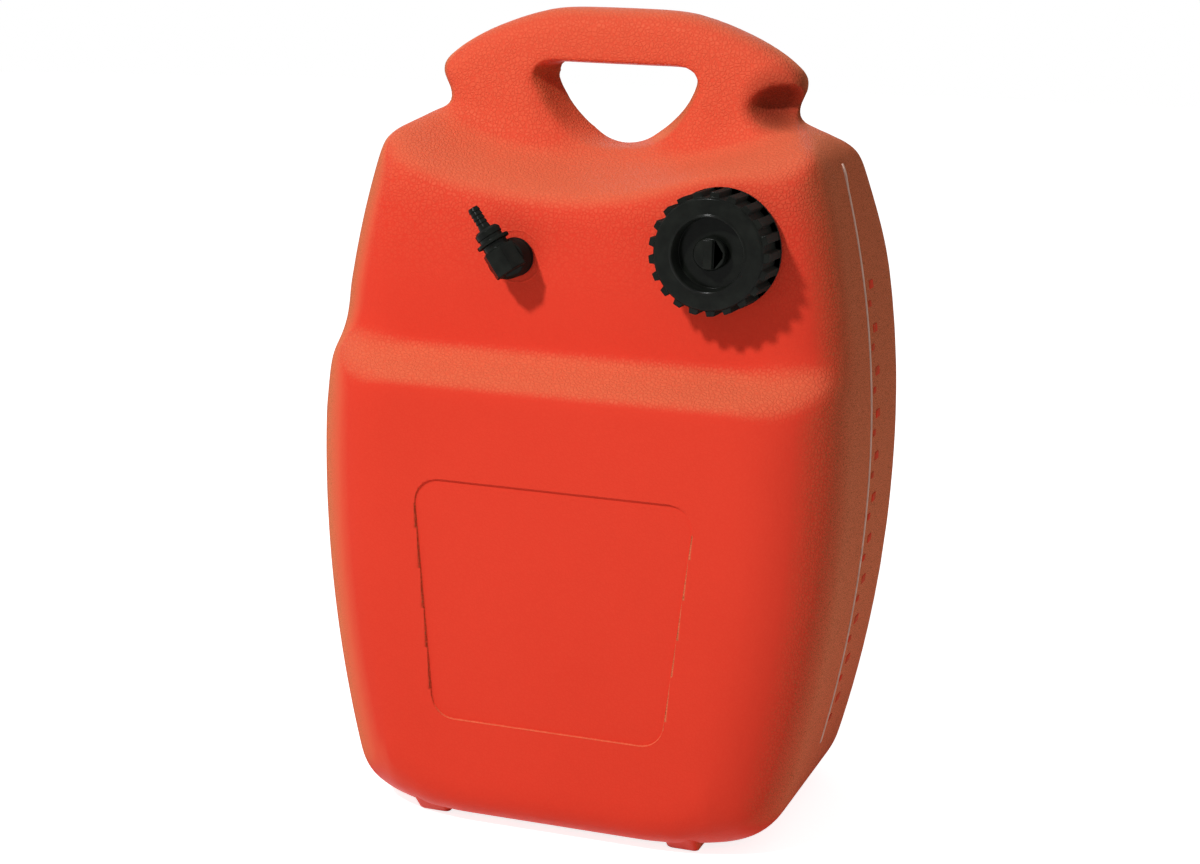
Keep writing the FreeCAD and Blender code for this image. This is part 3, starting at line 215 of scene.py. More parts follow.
def cut_out(name, outline, front, back):
    """Solid with that (across, level) outline in the front view, between two depths."""
    piece = primitive("circle", name, vertices=len(outline), radius=1.0, fill_type="NGON")
    for vertex, (across, level) in zip(piece.data.vertices, outline):
        vertex.co = (across, front, level)
    edit_all(piece)
    bpy.ops.mesh.extrude_region_move(TRANSFORM_OT_translate={"value": (0, back - front, 0)})
    bpy.ops.object.mode_set(mode="OBJECT")
    outward(piece)
    return piece


def round_rims(piece, depths, radius, segments):
    """Bevel the rims of a cut-out at those depths."""
    focus(piece)
    bpy.ops.object.mode_set(mode="EDIT")
    bpy.ops.mesh.select_mode(type="EDGE")
    bpy.ops.mesh.select_all(action="DESELECT")
    bpy.ops.object.mode_set(mode="OBJECT")
    points = piece.data.vertices
    for edge in piece.data.edges:
        ends = [points[index].co for index in edge.vertices]
        edge.select = any(all(abs(end.y - depth) < NEAR for end in ends) for depth in depths)
    bpy.ops.object.mode_set(mode="EDIT")
    bpy.ops.mesh.bevel(offset=radius, offset_type="OFFSET", segments=segments, profile=0.5,
                       affect="EDGES", clamp_overlap=False)
    bpy.ops.object.mode_set(mode="OBJECT")


def loft(name, rings):
    """Closed solid through rings of points, each ring extruded from the last."""
    piece = primitive("circle", name, vertices=len(rings[0]), radius=1.0, fill_type="NGON")
    for index, ring in enumerate(rings):
        bpy.ops.object.mode_set(mode="EDIT")
        if index == 0:
            bpy.ops.mesh.select_all(action="SELECT")
        else:
            bpy.ops.mesh.extrude_region_move()
        bpy.ops.object.mode_set(mode="OBJECT")
        ends = [vertex for vertex in piece.data.vertices if vertex.select]
        for vertex, place in zip(ends, ring):
            vertex.co = place
    outward(piece)
    return piece


def shifted(outline, distances, closed=True):
    """The outline moved to the left of its run, by a distance for each point."""
    moved = []
    last = len(outline) - 1
    for index, ((across, level), distance) in enumerate(zip(outline, distances)):
        before = index - 1 if index or closed else 0
        after = index + 1 if index < last else (0 if closed else last)
        along = (Vector(outline[after]) - Vector(outline[before])).normalized()
        moved.append((across - along.y * distance, level + along.x * distance))
    return moved


def rounded_block(name, outline, front, back, front_radius, back_radius=None):
    """Block with that outline and rounded rims. A rounding is a function of across and level."""
    steps = 8
    rings = []
    for face, rounding, way in ((front, front_radius, 1), (back, back_radius, -1)):
        if rounding is None:
            rings.append([(across, face, level) for across, level in outline])
            continue
        rims = []
        radii = [rounding(*place) for place in outline]
        for step in range(steps + 1):
            turn = math.pi / 2 * step / steps
            inset = shifted(outline, [radius * (1 - math.sin(turn)) for radius in radii])
            rims.append([(across, face + way * radius * (1 - math.cos(turn)), level)
                         for (across, level), radius in zip(inset, radii)])
        rings += rims if way > 0 else rims[::-1]
    return loft(name, rings)


def ease(piece, name, passes, share):
    """Smooth one zone more; share gives a point's part of it, from 0 to 1."""
    group = piece.vertex_groups.new(name=name)
    for vertex in piece.data.vertices:
        part = share(vertex.co)
        if part > 0:
            group.add([vertex.index], min(part, 1.0), "REPLACE")
    apply(piece, "SMOOTH", factor=0.5, iterations=passes, vertex_group=name)
    piece.vertex_groups.clear()


def ramp(value, low, high):
    """0 at low, 1 at high, soft at both ends."""
    t = min(max((value - low) / (high - low), 0.0), 1.0)
    return t * t * (3 - 2 * t)


def crisp_edges(piece, width):
    """Small bevel on the sharp edges, and smooth shading between them."""
    apply(piece, "BEVEL", width=width, segments=2, limit_method="ANGLE",
          angle_limit=math.radians(32), use_clamp_overlap=False)
    focus(piece)
    bpy.ops.object.shade_smooth_by_angle(angle=math.radians(38))
    apply(piece, "WEIGHTED_NORMAL", keep_sharp=True)


def arc(centre, radius, start, end, steps):
    """(across, level) points along an arc, angles in degrees."""
    points = []
    for step in range(steps + 1):
        turn = math.radians(start + (end - start) * step / steps)
        points.append((centre[0] + radius * math.cos(turn), centre[1] + radius * math.sin(turn)))
    return points


def smooth_run(points, steps):
    """Points of a smooth line through the given ones."""
    run = []
    count = len(points)
    for index in range(count - 1):
        before = points[max(index - 1, 0)]
        one, two = points[index], points[index + 1]
        after = points[min(index + 2, count - 1)]
        for step in range(steps):
            t = step / steps
            run.append(tuple(
                0.5 * (2 * b + (c - a) * t + (2 * a - 5 * b + 4 * c - d) * t * t
                       + (3 * b - a - 3 * c + d) * t ** 3)
                for a, b, c, d in zip(before, one, two, after)))
    run.append(points[-1])
    return run


# ---------------------------------------------------------------- finishes

def finish_nodes(name):
    """New material with its principled shader, and the piece's own coordinates and normal."""
    material = bpy.data.materials.new(name)
    material.use_nodes = True
    tree = material.node_tree
    shader = tree.nodes["Principled BSDF"]
    source = tree.nodes.new("ShaderNodeTexCoord").outputs
    return material, tree, shader, source["Object"], source["Normal"]


def noise(tree, place, scale, detail=3.0):
    """Soft cloudy pattern, from 0 to 1, with that many clouds a metre."""
    node = tree.nodes.new("ShaderNodeTexNoise")
    node.inputs["Scale"].default_value = scale
    node.inputs["Detail"].default_value = detail
    node.inputs["Roughness"].default_value = 0.5
    tree.links.new(place, node.inputs["Vector"])
    return node.outputs["Fac"]


def remap(tree, value, low, high, new_low, new_high):
    """New value that runs evenly from new_low to new_high while the value runs from low to high."""
    node = tree.nodes.new("ShaderNodeMapRange")
    numbers = {"From Min": low, "From Max": high, "To Min": new_low, "To Max": new_high}
    for key, number in numbers.items():
        node.inputs[key].default_value = number
    tree.links.new(value, node.inputs["Value"])
    return node.outputs["Result"]


def blend_colours(tree, share, one, other):
    """Mix of two colours or colour sockets: the first at share 0, the other at 1."""
    node = tree.nodes.new("ShaderNodeMix")
    node.data_type = "RGBA"
    tree.links.new(share, node.inputs["Factor"])
    for socket, colour in ((node.inputs["A"], one), (node.inputs["B"], other)):
        if isinstance(colour, bpy.types.NodeSocket):
            tree.links.new(colour, socket)
        else:
            socket.default_value = (*colour, 1.0)
    return node.outputs["Result"]


def raise_grain(tree, shader, height, strength, distance, under=None):
    """Relief of that height on the shader, on top of another relief if one is given."""
    node = tree.nodes.new("ShaderNodeBump")
    node.inputs["Strength"].default_value = strength
    node.inputs["Distance"].default_value = distance
    tree.links.new(height, node.inputs["Height"])
    if under is not None:
        tree.links.new(under, node.inputs["Normal"])
    tree.links.new(node.outputs["Normal"], shader.inputs["Normal"])
    return node.outputs["Normal"]


def math_node(tree, operation, one, other):
    """Result of an operation on two values or sockets."""
    node = tree.nodes.new("ShaderNodeMath")
    node.operation = operation
    for socket, value in zip(node.inputs, (one, other)):
        if isinstance(value, bpy.types.NodeSocket):
            tree.links.new(value, socket)
        else:
            socket.default_value = value
    return node.outputs[0]


def highest(tree, first, *others):
    """The highest of several sockets."""
    for other in others:
        first = math_node(tree, "MAXIMUM", first, other)
    return first


def axes(tree, vector):
    """The X, Y and Z of a vector socket."""
    node = tree.nodes.new("ShaderNodeSeparateXYZ")
    tree.links.new(vector, node.inputs[0])
    return node.outputs


def away_from(tree, place, centre):
    """Distance from a place on the piece."""
    node = tree.nodes.new("ShaderNodeVectorMath")
    node.operation = "DISTANCE"
    node.inputs[1].default_value = centre
    tree.links.new(place, node.inputs[0])
    return node.outputs["Value"]


def pebbles(tree, place, scale, slope):
    """Leather grain: 1 on top of a pebble, 0 in the groove round it."""
    node = tree.nodes.new("ShaderNodeTexVoronoi")
    node.feature = "DISTANCE_TO_EDGE"
    node.inputs["Scale"].default_value = scale
    tree.links.new(place, node.inputs["Vector"])
    return remap(tree, node.outputs["Distance"], 0.0, slope, 0.0, 1.0)


def tank_plastic():
    """Moulded tank: satin red, with a leather grain on the handle, the ledge and the sides, a
    painted orange sheen on what lies flat or is seen along its surface, painted highlights on the
    pebble tops, painted shade towards the top of the sides and painted shade in the hollow."""
    colours = bpy.context.scene.tank_colours
    material, tree, shader, place, normal = finish_nodes("tank_plastic")
    facing = axes(tree, normal)
    level = axes(tree, place)["Z"]
    sideways = math_node(tree, "ABSOLUTE", facing["X"], 0.0)
    grazing = tree.nodes.new("ShaderNodeLayerWeight")
    grazing.inputs["Blend"].default_value = 0.5

    # Painted sheen: faces that look up, the handle, and sides seen at a grazing angle turn orange
    # in place of the light's sheen on the grain.
    up_painted_sheen = remap(tree, facing["Z"], 0.30, 1.0, 0.0, 0.62)
    handle_painted_sheen = remap(tree, level, 0.390, 0.445, 0.0, 0.24)
    side_share = math_node(tree, "MULTIPLY", remap(tree, sideways, 0.10, 0.55, 0.0, 1.0),
                           remap(tree, facing["Z"], -0.55, -0.10, 0.0, 1.0))
    side_painted_sheen = math_node(tree, "MULTIPLY", side_share,
                          remap(tree, grazing.outputs["Facing"], 0.35, 0.80, 0.0, 1.0))
    cast = highest(tree, up_painted_sheen, handle_painted_sheen, side_painted_sheen)

    up_grain = remap(tree, facing["Z"], 0.15, 0.60, 0.0, 1.0)
    handle_grain = remap(tree, level, 0.340, 0.410, 0.10, 0.85)
    side_grain = remap(tree, sideways, 0.55, 0.90, 0.0, 0.7)
    grain = highest(tree, up_grain, handle_grain, side_grain)

    patch = remap(tree, noise(tree, place, 7.0), 0.35, 0.65, 0.0, 1.0)
    red = blend_colours(tree, patch, colours.tank[:], colours.tank_deep[:])
    colour = blend_colours(tree, cast, red, colours.cast[:])
    cells = pebbles(tree, place, 400.0, 0.20)
    fine = pebbles(tree, place, 700.0, 0.16)
    height = math_node(tree, "MULTIPLY", cells, grain)
    # Dark specks between the pebbles, plus painted shade that grows towards the top of the sides,
    # where less light comes up from the floor.
    shade = math_node(tree, "ADD", remap(tree, fine, 0.0, 0.7, 0.95, 0.0),
                      remap(tree, level, 0.08, 0.42, 0.0, 0.44))
    speckle_and_shade = math_node(tree, "MULTIPLY", shade, remap(tree, sideways, 0.55, 0.95, 0.0, 1.0))
    colour = blend_colours(tree, speckle_and_shade, colour, colours.speckle_and_shade[:])
    # Painted highlight: the tops of the pebbles turn lighter and oranger in place of the light's
    # glint on them.
    painted_glint = math_node(tree, "MULTIPLY", height, 0.14)
    colour = blend_colours(tree, painted_glint, colour, colours.pebble_highlight[:])

    # Painted shade: the hollow under the handle's right lug turns darker towards its deepest part.
    hollow_shade_share = remap(tree, away_from(tree, place, HOLLOW_END), 0.010, 0.026, 0.80, 0.0)
    colour = blend_colours(tree, hollow_shade_share, colour, colours.painted_hollow_shade[:])
    tree.links.new(colour, shader.inputs["Base Color"])

    sheen = remap(tree, noise(tree, place, 60.0), 0.3, 0.7, 0.38, 0.48)
    matt = math_node(tree, "MAXIMUM", sheen, remap(tree, sideways, 0.35, 0.85, 0.38, 1.0))
    tree.links.new(matt, shader.inputs["Roughness"])
    coarse = raise_grain(tree, shader, height, 0.55, 0.0006)
    raise_grain(tree, shader, noise(tree, place, 28.0, 2.0), 0.04, 0.002, coarse)
    shader.inputs["Specular IOR Level"].default_value = 0.06
    shader.inputs["Specular Tint"].default_value = (1.0, 0.72, 0.45, 1.0)
    return material


def parting_plastic():
    """Flash along the parting line: paler and rougher than the tank."""
    colours = bpy.context.scene.tank_colours
    material, tree, shader, place, _ = finish_nodes("parting_plastic")
    patch = remap(tree, noise(tree, place, 90.0), 0.35, 0.65, 0.0, 1.0)
    darker = tuple(0.8 * part for part in colours.parting)
    colour = blend_colours(tree, patch, colours.parting[:], darker)
    tree.links.new(colour, shader.inputs["Base Color"])
    shader.inputs["Roughness"].default_value = 0.8
    shader.inputs["Specular IOR Level"].default_value = 0.10
    raise_grain(tree, shader, noise(tree, place, 500.0), 0.3, 0.0003)
    return material


def fitting_plastic():
    """Black moulded fittings: glossy in front and matt round the sides, with faint flow marks and
    fine scuffs."""
    colours = bpy.context.scene.tank_colours
    material, tree, shader, place, normal = finish_nodes("fitting_plastic")
    patch = remap(tree, noise(tree, place, 120.0), 0.3, 0.7, 0.0, 1.0)
    lighter = tuple(2.2 * part for part in colours.fitting)
    colour = blend_colours(tree, patch, colours.fitting[:], lighter)
    tree.links.new(colour, shader.inputs["Base Color"])
    scuffs = remap(tree, noise(tree, place, 300.0), 0.3, 0.7, 0.14, 0.22)
    forward = math_node(tree, "ABSOLUTE", axes(tree, normal)["Y"], 0.0)
    matt = math_node(tree, "MAXIMUM", scuffs, remap(tree, forward, 0.25, 0.60, 0.75, 0.14))
    tree.links.new(matt, shader.inputs["Roughness"])
    shader.inputs["Specular IOR Level"].default_value = 0.07
    raise_grain(tree, shader, noise(tree, place, 700.0), 0.06, 0.0002)
    return material


def mark_plastic():
    """Marks of the level scale: bright red and matt."""
    colours = bpy.context.scene.tank_colours
    material, tree, shader, place, _ = finish_nodes("mark_plastic")
    patch = remap(tree, noise(tree, place, 200.0), 0.35, 0.65, 0.0, 0.6)
    colour = blend_colours(tree, patch, colours.mark[:], colours.speckle_and_shade[:])
    tree.links.new(colour, shader.inputs["Base Color"])
    shader.inputs["Roughness"].default_value = 0.85
    shader.inputs["Specular IOR Level"].default_value = 0.05
    raise_grain(tree, shader, noise(tree, place, 600.0), 0.2, 0.0002)
    return material


def simple_finish(name, colour, other, metallic, roughness, scale, grain):
    """Finish of a small inner piece, mottled between two colours."""
    material, tree, shader, place, _ = finish_nodes(name)
    patch = remap(tree, noise(tree, place, scale), 0.35, 0.65, 0.0, 1.0)
    mixed = blend_colours(tree, patch, colour, other)
    tree.links.new(mixed, shader.inputs["Base Color"])
    shader.inputs["Metallic"].default_value = metallic
    uneven = remap(tree, patch, 0, 1, roughness, roughness + 0.12)
    tree.links.new(uneven, shader.inputs["Roughness"])
    raise_grain(tree, shader, noise(tree, place, scale * 8), grain, 0.0002)
    return material


def paint(piece, material):
    """Give the piece that finish and no other."""
    piece.data.materials.clear()
    piece.data.materials.append(material)


SIMPLE_FINISHES = {
    "seal_rubber": dict(colour=(0.012, 0.012, 0.013), other=(0.022, 0.021, 0.021),
                        metallic=0.0, roughness=0.62, scale=220.0, grain=0.25),
    "turned_brass": dict(colour=(0.62, 0.43, 0.16), other=(0.50, 0.34, 0.12),
                         metallic=1.0, roughness=0.26, scale=160.0, grain=0.10),
    "bright_steel": dict(colour=(0.56, 0.57, 0.58), other=(0.47, 0.48, 0.50),
                         metallic=1.0, roughness=0.24, scale=180.0, grain=0.10),
    "gauze_steel": dict(colour=(0.46, 0.46, 0.47), other=(0.30, 0.30, 0.31),
                        metallic=1.0, roughness=0.40, scale=900.0, grain=0.60),
    "tube_rubber": dict(colour=(0.020, 0.020, 0.021), other=(0.034, 0.033, 0.033),
                        metallic=0.0, roughness=0.48, scale=120.0, grain=0.15),
}


def finish(name):
    """The named finish, made on first use."""
    if name in bpy.data.materials:
        return bpy.data.materials[name]
    if name in SIMPLE_FINISHES:
        return simple_finish(name, **SIMPLE_FINISHES[name])
    makers = (tank_plastic, parting_plastic, fitting_plastic, mark_plastic)
    return next(maker for maker in makers if maker.__name__ == name)()


# ---------------------------------------------------------------- moulded tank

def side_reach(level):
    """Half width of the tank at a level: two shallow arcs that meet at its widest level."""
    rise = level - WIDEST_LEVEL
    radius = UPPER_ARC if rise > 0 else LOWER_ARC
    return bpy.context.scene.tank_sizes.half_width - radius + math.sqrt(radius ** 2 - rise ** 2)


def tank_outline():
    """Front view of the tank without its handle, sides carried up past the shoulders."""
    radius = 0.038
    sizes = bpy.context.scene.tank_sizes
    hub = (sizes.half_width - LOWER_ARC, WIDEST_LEVEL)
    corner_level = BASE_LEVEL + radius
    spread = math.sqrt((LOWER_ARC - radius) ** 2 - (corner_level - hub[1]) ** 2)
    centre = (hub[0] + spread, corner_level)
    lean = math.degrees(math.atan2(centre[1] - hub[1], centre[0] - hub[0]))
    right = arc(centre, radius, -90, lean, 14)
    level = right[-1][1]
    steps = 34
    for step in range(1, steps + 1):
        height = level + (sizes.height - level) * step / steps
        right.append((side_reach(height), height))
    shares = (-0.8, -0.6, -0.4, -0.2, 0.0, 0.2, 0.4, 0.6, 0.8)
    base = [(right[0][0] * share, BASE_LEVEL) for share in shares]
    return base + right + [(-across, height) for across, height in reversed(right)]


SHOULDER_START = (0.118, 0.448)


def shoulder_corner():
    """Round corner between a sloping shoulder and the side, from the shoulder down."""
    slope, radius, past = 0.47, 0.042, 0.0006
    length = math.hypot(1, slope)
    along = (1 / length, -slope / length)
    inward = (along[1], -along[0])
    hub = (bpy.context.scene.tank_sizes.half_width - UPPER_ARC, WIDEST_LEVEL)
    base = (SHOULDER_START[0] + inward[0] * radius - hub[0],
            SHOULDER_START[1] + inward[1] * radius - hub[1])
    spread = UPPER_ARC - radius + past
    dot = base[0] * along[0] + base[1] * along[1]
    run = math.sqrt(dot ** 2 - base[0] ** 2 - base[1] ** 2 + spread ** 2) - dot
    centre = (hub[0] + base[0] + along[0] * run, hub[1] + base[1] + along[1] * run)
    first = math.degrees(math.atan2(-inward[1], -inward[0]))
    last = math.degrees(math.atan2(centre[1] - hub[1], centre[0] - hub[0]))
    return arc(centre, radius, first, last, 10)


def shoulder_outline():
    """What is missing above the flat top, the sloping shoulders and their round corners."""
    right = [SHOULDER_START] + shoulder_corner()
    right += [(BEYOND, right[-1][1]), (BEYOND, 2 * BEYOND)]
    return right + [(-across, height) for across, height in reversed(right)]


def level_at(line, across):
    """Level of a line of (across, level) points at a place between them."""
    for one, two in zip(line, line[1:]):
        if across <= two[0]:
            share = (across - one[0]) / (two[0] - one[0])
            return one[1] + (two[1] - one[1]) * max(share, 0.0)
    return line[-1][1]


# (across, level) points of the rim between the scoops and the faces below them. The front one is
# lower on the left.
FRONT_RIM = [
    (-0.200, 0.424), (-0.150, 0.420), (-0.120, 0.4155), (-0.095, 0.4070), (-0.072, 0.4030),
    (-0.034, 0.4000), (0.0, 0.3995), (0.034, 0.4046), (0.062, 0.4136), (0.084, 0.4200),
    (0.116, 0.4190), (0.150, 0.4140), (0.200, 0.4100)]
BACK_RIM = [
    (-0.200, 0.418), (-0.116, 0.4170), (-0.075, 0.4100), (0.0, 0.4000), (0.075, 0.4100),
    (0.116, 0.4170), (0.200, 0.418)]


def scoop(name, side):
    """Cutter for the sloping scoop in front of the handle (side -1) or behind it (side 1)."""
    near = bpy.context.scene.tank_sizes.handle_half - 0.002
    far, reach = 0.125, 0.20
    rim_depth, root_level, root_bow = 0.0873, 0.421, 0.264
    rim = smooth_run(BACK_RIM, 10) if side > 0 else smooth_run(FRONT_RIM, 6)
    piece = primitive("grid", name, x_subdivisions=60, y_subdivisions=24, size=2.0)
    for vertex in piece.data.vertices:
        across = vertex.co.x * reach
        depth = near + (vertex.co.y + 1) / 2 * (far - near)
        share = (depth - near) / (rim_depth - near)
        rise = root_bow - math.sqrt(root_bow ** 2 - across ** 2)
        level = (1 - share) * (root_level + rise) + share * level_at(rim, across)
        vertex.co = (across, side * depth, level)
    edit_all(piece)
    bpy.ops.mesh.extrude_region_move(TRANSFORM_OT_translate={"value": (0, 0, 0.25)})
    bpy.ops.object.mode_set(mode="OBJECT")
    outward(piece)
    return piece


def handle_shape():
    """Outer outline of the handle and its two lugs, down into the tank."""
    right = smooth_run([
        (0.0, 0.5149), (0.037, 0.5142), (0.057, 0.5102), (0.074, 0.5046), (0.090, 0.4978),
        (0.103, 0.4905), (0.114, 0.4825), (0.1200, 0.4748), (0.1180, 0.4665), (0.1135, 0.4590),
        (0.1132, 0.4520), (0.1165, 0.4440)], 5)
    right.append((0.118, 0.412))
    return right + [(-across, height) for across, height in reversed(right[1:])]


def grip_shape(half_run):
    """Finger opening from its right half, listed downwards from the middle of the top."""
    right = smooth_run(half_run, 4)
    return right + [(-across, level) for across, level in reversed(right[1:-1])]


def grip_cutter():
    """Finger opening through the handle, narrower at the back and flared at both faces."""
    half = bpy.context.scene.tank_sizes.handle_half
    front = grip_shape([
        (0.0, 0.4800), (0.022, 0.4800), (0.044, 0.4800), (0.0510, 0.4788), (0.0540, 0.4750),
        (0.0532, 0.4695), (0.0512, 0.4640), (0.0473, 0.4540), (0.0426, 0.4440), (0.0380, 0.4385),
        (0.0320, 0.4335), (0.0235, 0.4295), (0.0120, 0.4275), (0.0, 0.4270)])
    back = grip_shape([
        (0.0, 0.4800), (0.022, 0.4800), (0.041, 0.4800), (0.0465, 0.4785), (0.0481, 0.4750),
        (0.0459, 0.4700), (0.0423, 0.4640), (0.0350, 0.4540), (0.0240, 0.4440), (0.0185, 0.4402),
        (0.0135, 0.4365), (0.0085, 0.4335), (0.0040, 0.4320), (0.0, 0.4315)])
    radius, steps, past = 0.009, 6, 0.0015
    stations = [(half + past, radius)]
    for step in range(steps + 1):
        turn = math.pi / 2 * step / steps
        stations.append((half - radius + radius * math.cos(turn), radius * (1 - math.sin(turn))))
    stations += [(-depth, growth) for depth, growth in reversed(stations)]
    rings = []
    for depth, growth in stations:
        share = (depth + half) / (2 * half)
        outline = [((1 - share) * one[0] + share * two[0], (1 - share) * one[1] + share * two[1])
                   for one, two in zip(front, back)]
        rings.append([(across, depth, level)
                      for across, level in shifted(outline, [growth] * len(outline))])
    return loft("grip_cutter", rings)


def hollow_cutter():
    """Hollow under the right lug, in the front of the handle."""
    centre, half_sizes = (0.1130, -0.034, 0.4600), (0.0290, 0.036, 0.0150)
    piece = primitive("uv_sphere", "hollow_cutter", segments=48, ring_count=24, radius=1.0)
    place = Matrix.Translation(centre) @ Matrix.Rotation(math.radians(-6), 4, "Y")
    piece.data.transform(place @ Matrix.Diagonal((*half_sizes, 1.0)))
    return piece


def side_on(piece):
    """Swap across and depth, so that an outline becomes the side view."""
    piece.data.transform(Matrix(((0, 1, 0, 0), (1, 0, 0, 0), (0, 0, 1, 0), (0, 0, 0, 1))))
    outward(piece)
    return piece


def ledge_cutter():
    """What is missing above the ledge and in front of the upper face."""
    sizes = bpy.context.scene.tank_sizes
    front = -sizes.half_depth
    low, rise, over = 0.287, 0.018, 2 * BEYOND
    slope = rise / (sizes.upper_face - front)
    outline = [(2 * front, low + front * slope), (sizes.upper_face, low + rise), (0.0, low + rise),
               (0.0, over), (2 * front, over)]
    return side_on(cut_out("ledge_cutter", outline, -BEYOND, BEYOND))


def foot_block(side):
    """Runner under the tank with sloping ends."""
    outline = [(-0.087, 0.0), (0.087, 0.0), (0.101, 0.014), (0.101, 0.022), (-0.101, 0.022),
               (-0.101, 0.014)]
    middle, half = side * 0.084, 0.0110
    piece = side_on(cut_out("foot_block", outline, middle - half, middle + half))
    apply(piece, "BEVEL", width=0.004, segments=4, limit_method="ANGLE",
          angle_limit=math.radians(15))
    return piece


def panel_cutter():
    """Shallow recess of the label panel, wider at the top, with sloping walls."""
    top, bottom, wide, narrow, radius, depth = 0.2278, 0.0743, 0.0916, 0.0749, 0.015, 0.0016
    front = -bpy.context.scene.tank_sizes.half_depth
    corners = [(wide, top), (narrow, bottom), (-narrow, bottom), (-wide, top)]
    outline = []
    count = len(corners)
    for index, corner in enumerate(corners):
        here = Vector(corner)
        before = (Vector(corners[index - 1]) - here).normalized()
        after = (Vector(corners[(index + 1) % count]) - here).normalized()
        half = before.angle(after) / 2
        centre = here + (before + after).normalized() * (radius / math.sin(half))
        start = here + before * radius / math.tan(half)
        end = here + after * radius / math.tan(half)
        first = math.degrees(math.atan2(start.y - centre.y, start.x - centre.x))
        last = math.degrees(math.atan2(end.y - centre.y, end.x - centre.x))
        if last > first:
            last -= 360
        outline += arc(centre, radius, first, last, 8)
    piece = cut_out("panel_cutter", outline, front - 0.003, front + depth)
    round_rims(piece, [front + depth], 0.0012, 2)
    return piece


def rim_radius(side, shoulder):
    """Radius of a block's rim by place: small at the base, then the side's, then the shoulder's."""
    base = bpy.context.scene.tank_sizes.base_radius

    def radius(across, level):
        off_base = max(ramp(level, BASE_LEVEL, 0.016), ramp(abs(across), 0.070, 0.125))
        return base + (side - base) * off_base + (shoulder - side) * ramp(level, 0.350, 0.440)

    return radius


def soften(piece):
    """Turn the sharp block into one moulded skin with round edges."""
    sizes = bpy.context.scene.tank_sizes
    apply(piece, "REMESH", mode="VOXEL", voxel_size=sizes.voxel, adaptivity=0.0)
    apply(piece, "SMOOTH", factor=0.5, iterations=sizes.soften_passes)

    def root(point):
        across, depth, level = abs(point.x), abs(point.y), point.z
        return (ramp(across, 0.155, 0.120) * ramp(level, 0.372, 0.394) * ramp(level, 0.462, 0.436)
                * ramp(depth, 0.012, 0.022))

    def ledge_end(point):
        return ramp(abs(point.x), 0.105, 0.140) * ramp(abs(point.z - 0.297), 0.040, 0.018) * (
            ramp(point.y, -0.010, -0.040))

    ease(piece, "root", 110, root)
    ease(piece, "ledge_end", 130, ledge_end)


def hollow_zone(point):
    """Share of a point in the rounding of the hollow's rim."""
    away = (point - Vector((0.110, -0.020, 0.4605))).length
    return ramp(away, 0.042, 0.030)


def cavity(body):
    """Inside of the tank: a coarse copy of it, shrunk by the wall and cut off under the handle."""
    wall, coarse, roof = 0.0032, 0.008, 0.392
    focus(body)
    bpy.ops.object.duplicate()
    inside = bpy.context.object
    inside.name = "cavity"
    above = [(-BEYOND, roof), (BEYOND, roof), (BEYOND, 2 * BEYOND), (-BEYOND, 2 * BEYOND)]
    combine(inside, cut_out("roof_cutter", above, -BEYOND, BEYOND), "DIFFERENCE")
    apply(inside, "REMESH", mode="VOXEL", voxel_size=coarse, adaptivity=0.0)
    apply(inside, "DISPLACE", strength=-wall, mid_level=0.0)
    return inside


def filler_neck():
    """Threaded neck under the cap, cut out of the frame's tank."""
    face, into, low, near = -0.0826, -0.0800, 0.335, 0.050
    deselect()
    piece = bpy.data.objects.new("filler_neck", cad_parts["tank_shell"].data.copy())
    bpy.context.scene.collection.objects.link(piece)
    edit_all(piece)
    bpy.ops.mesh.remove_doubles(threshold=1e-6)
    cuts = (((0, face, 0), (0, 1, 0)), ((0, 0, low), (0, 0, -1)), ((near, 0, 0), (-1, 0, 0)))
    for place, way in cuts:
        bpy.ops.mesh.select_all(action="SELECT")
        bpy.ops.mesh.bisect(plane_co=place, plane_no=way, use_fill=True, clear_outer=True)
    bpy.ops.object.mode_set(mode="OBJECT")
    for vertex in piece.data.vertices:
        if vertex.co.y > face - NEAR:
            vertex.co.y = into
    outward(piece)
    return piece


def join(piece, others):
    """Make the others part of the piece."""
    focus(piece)
    for other in others:
        other.select_set(True)
    bpy.ops.object.join()


def turned(name, place, radius, front, back):
    """Round bar along the depth, for a bore."""
    piece = primitive("cylinder", name, vertices=64, radius=radius, depth=back - front)
    piece.data.transform(Matrix.Translation((place[0], (front + back) / 2, place[1]))
                         @ Matrix.Rotation(math.pi / 2, 4, "X"))
    return piece


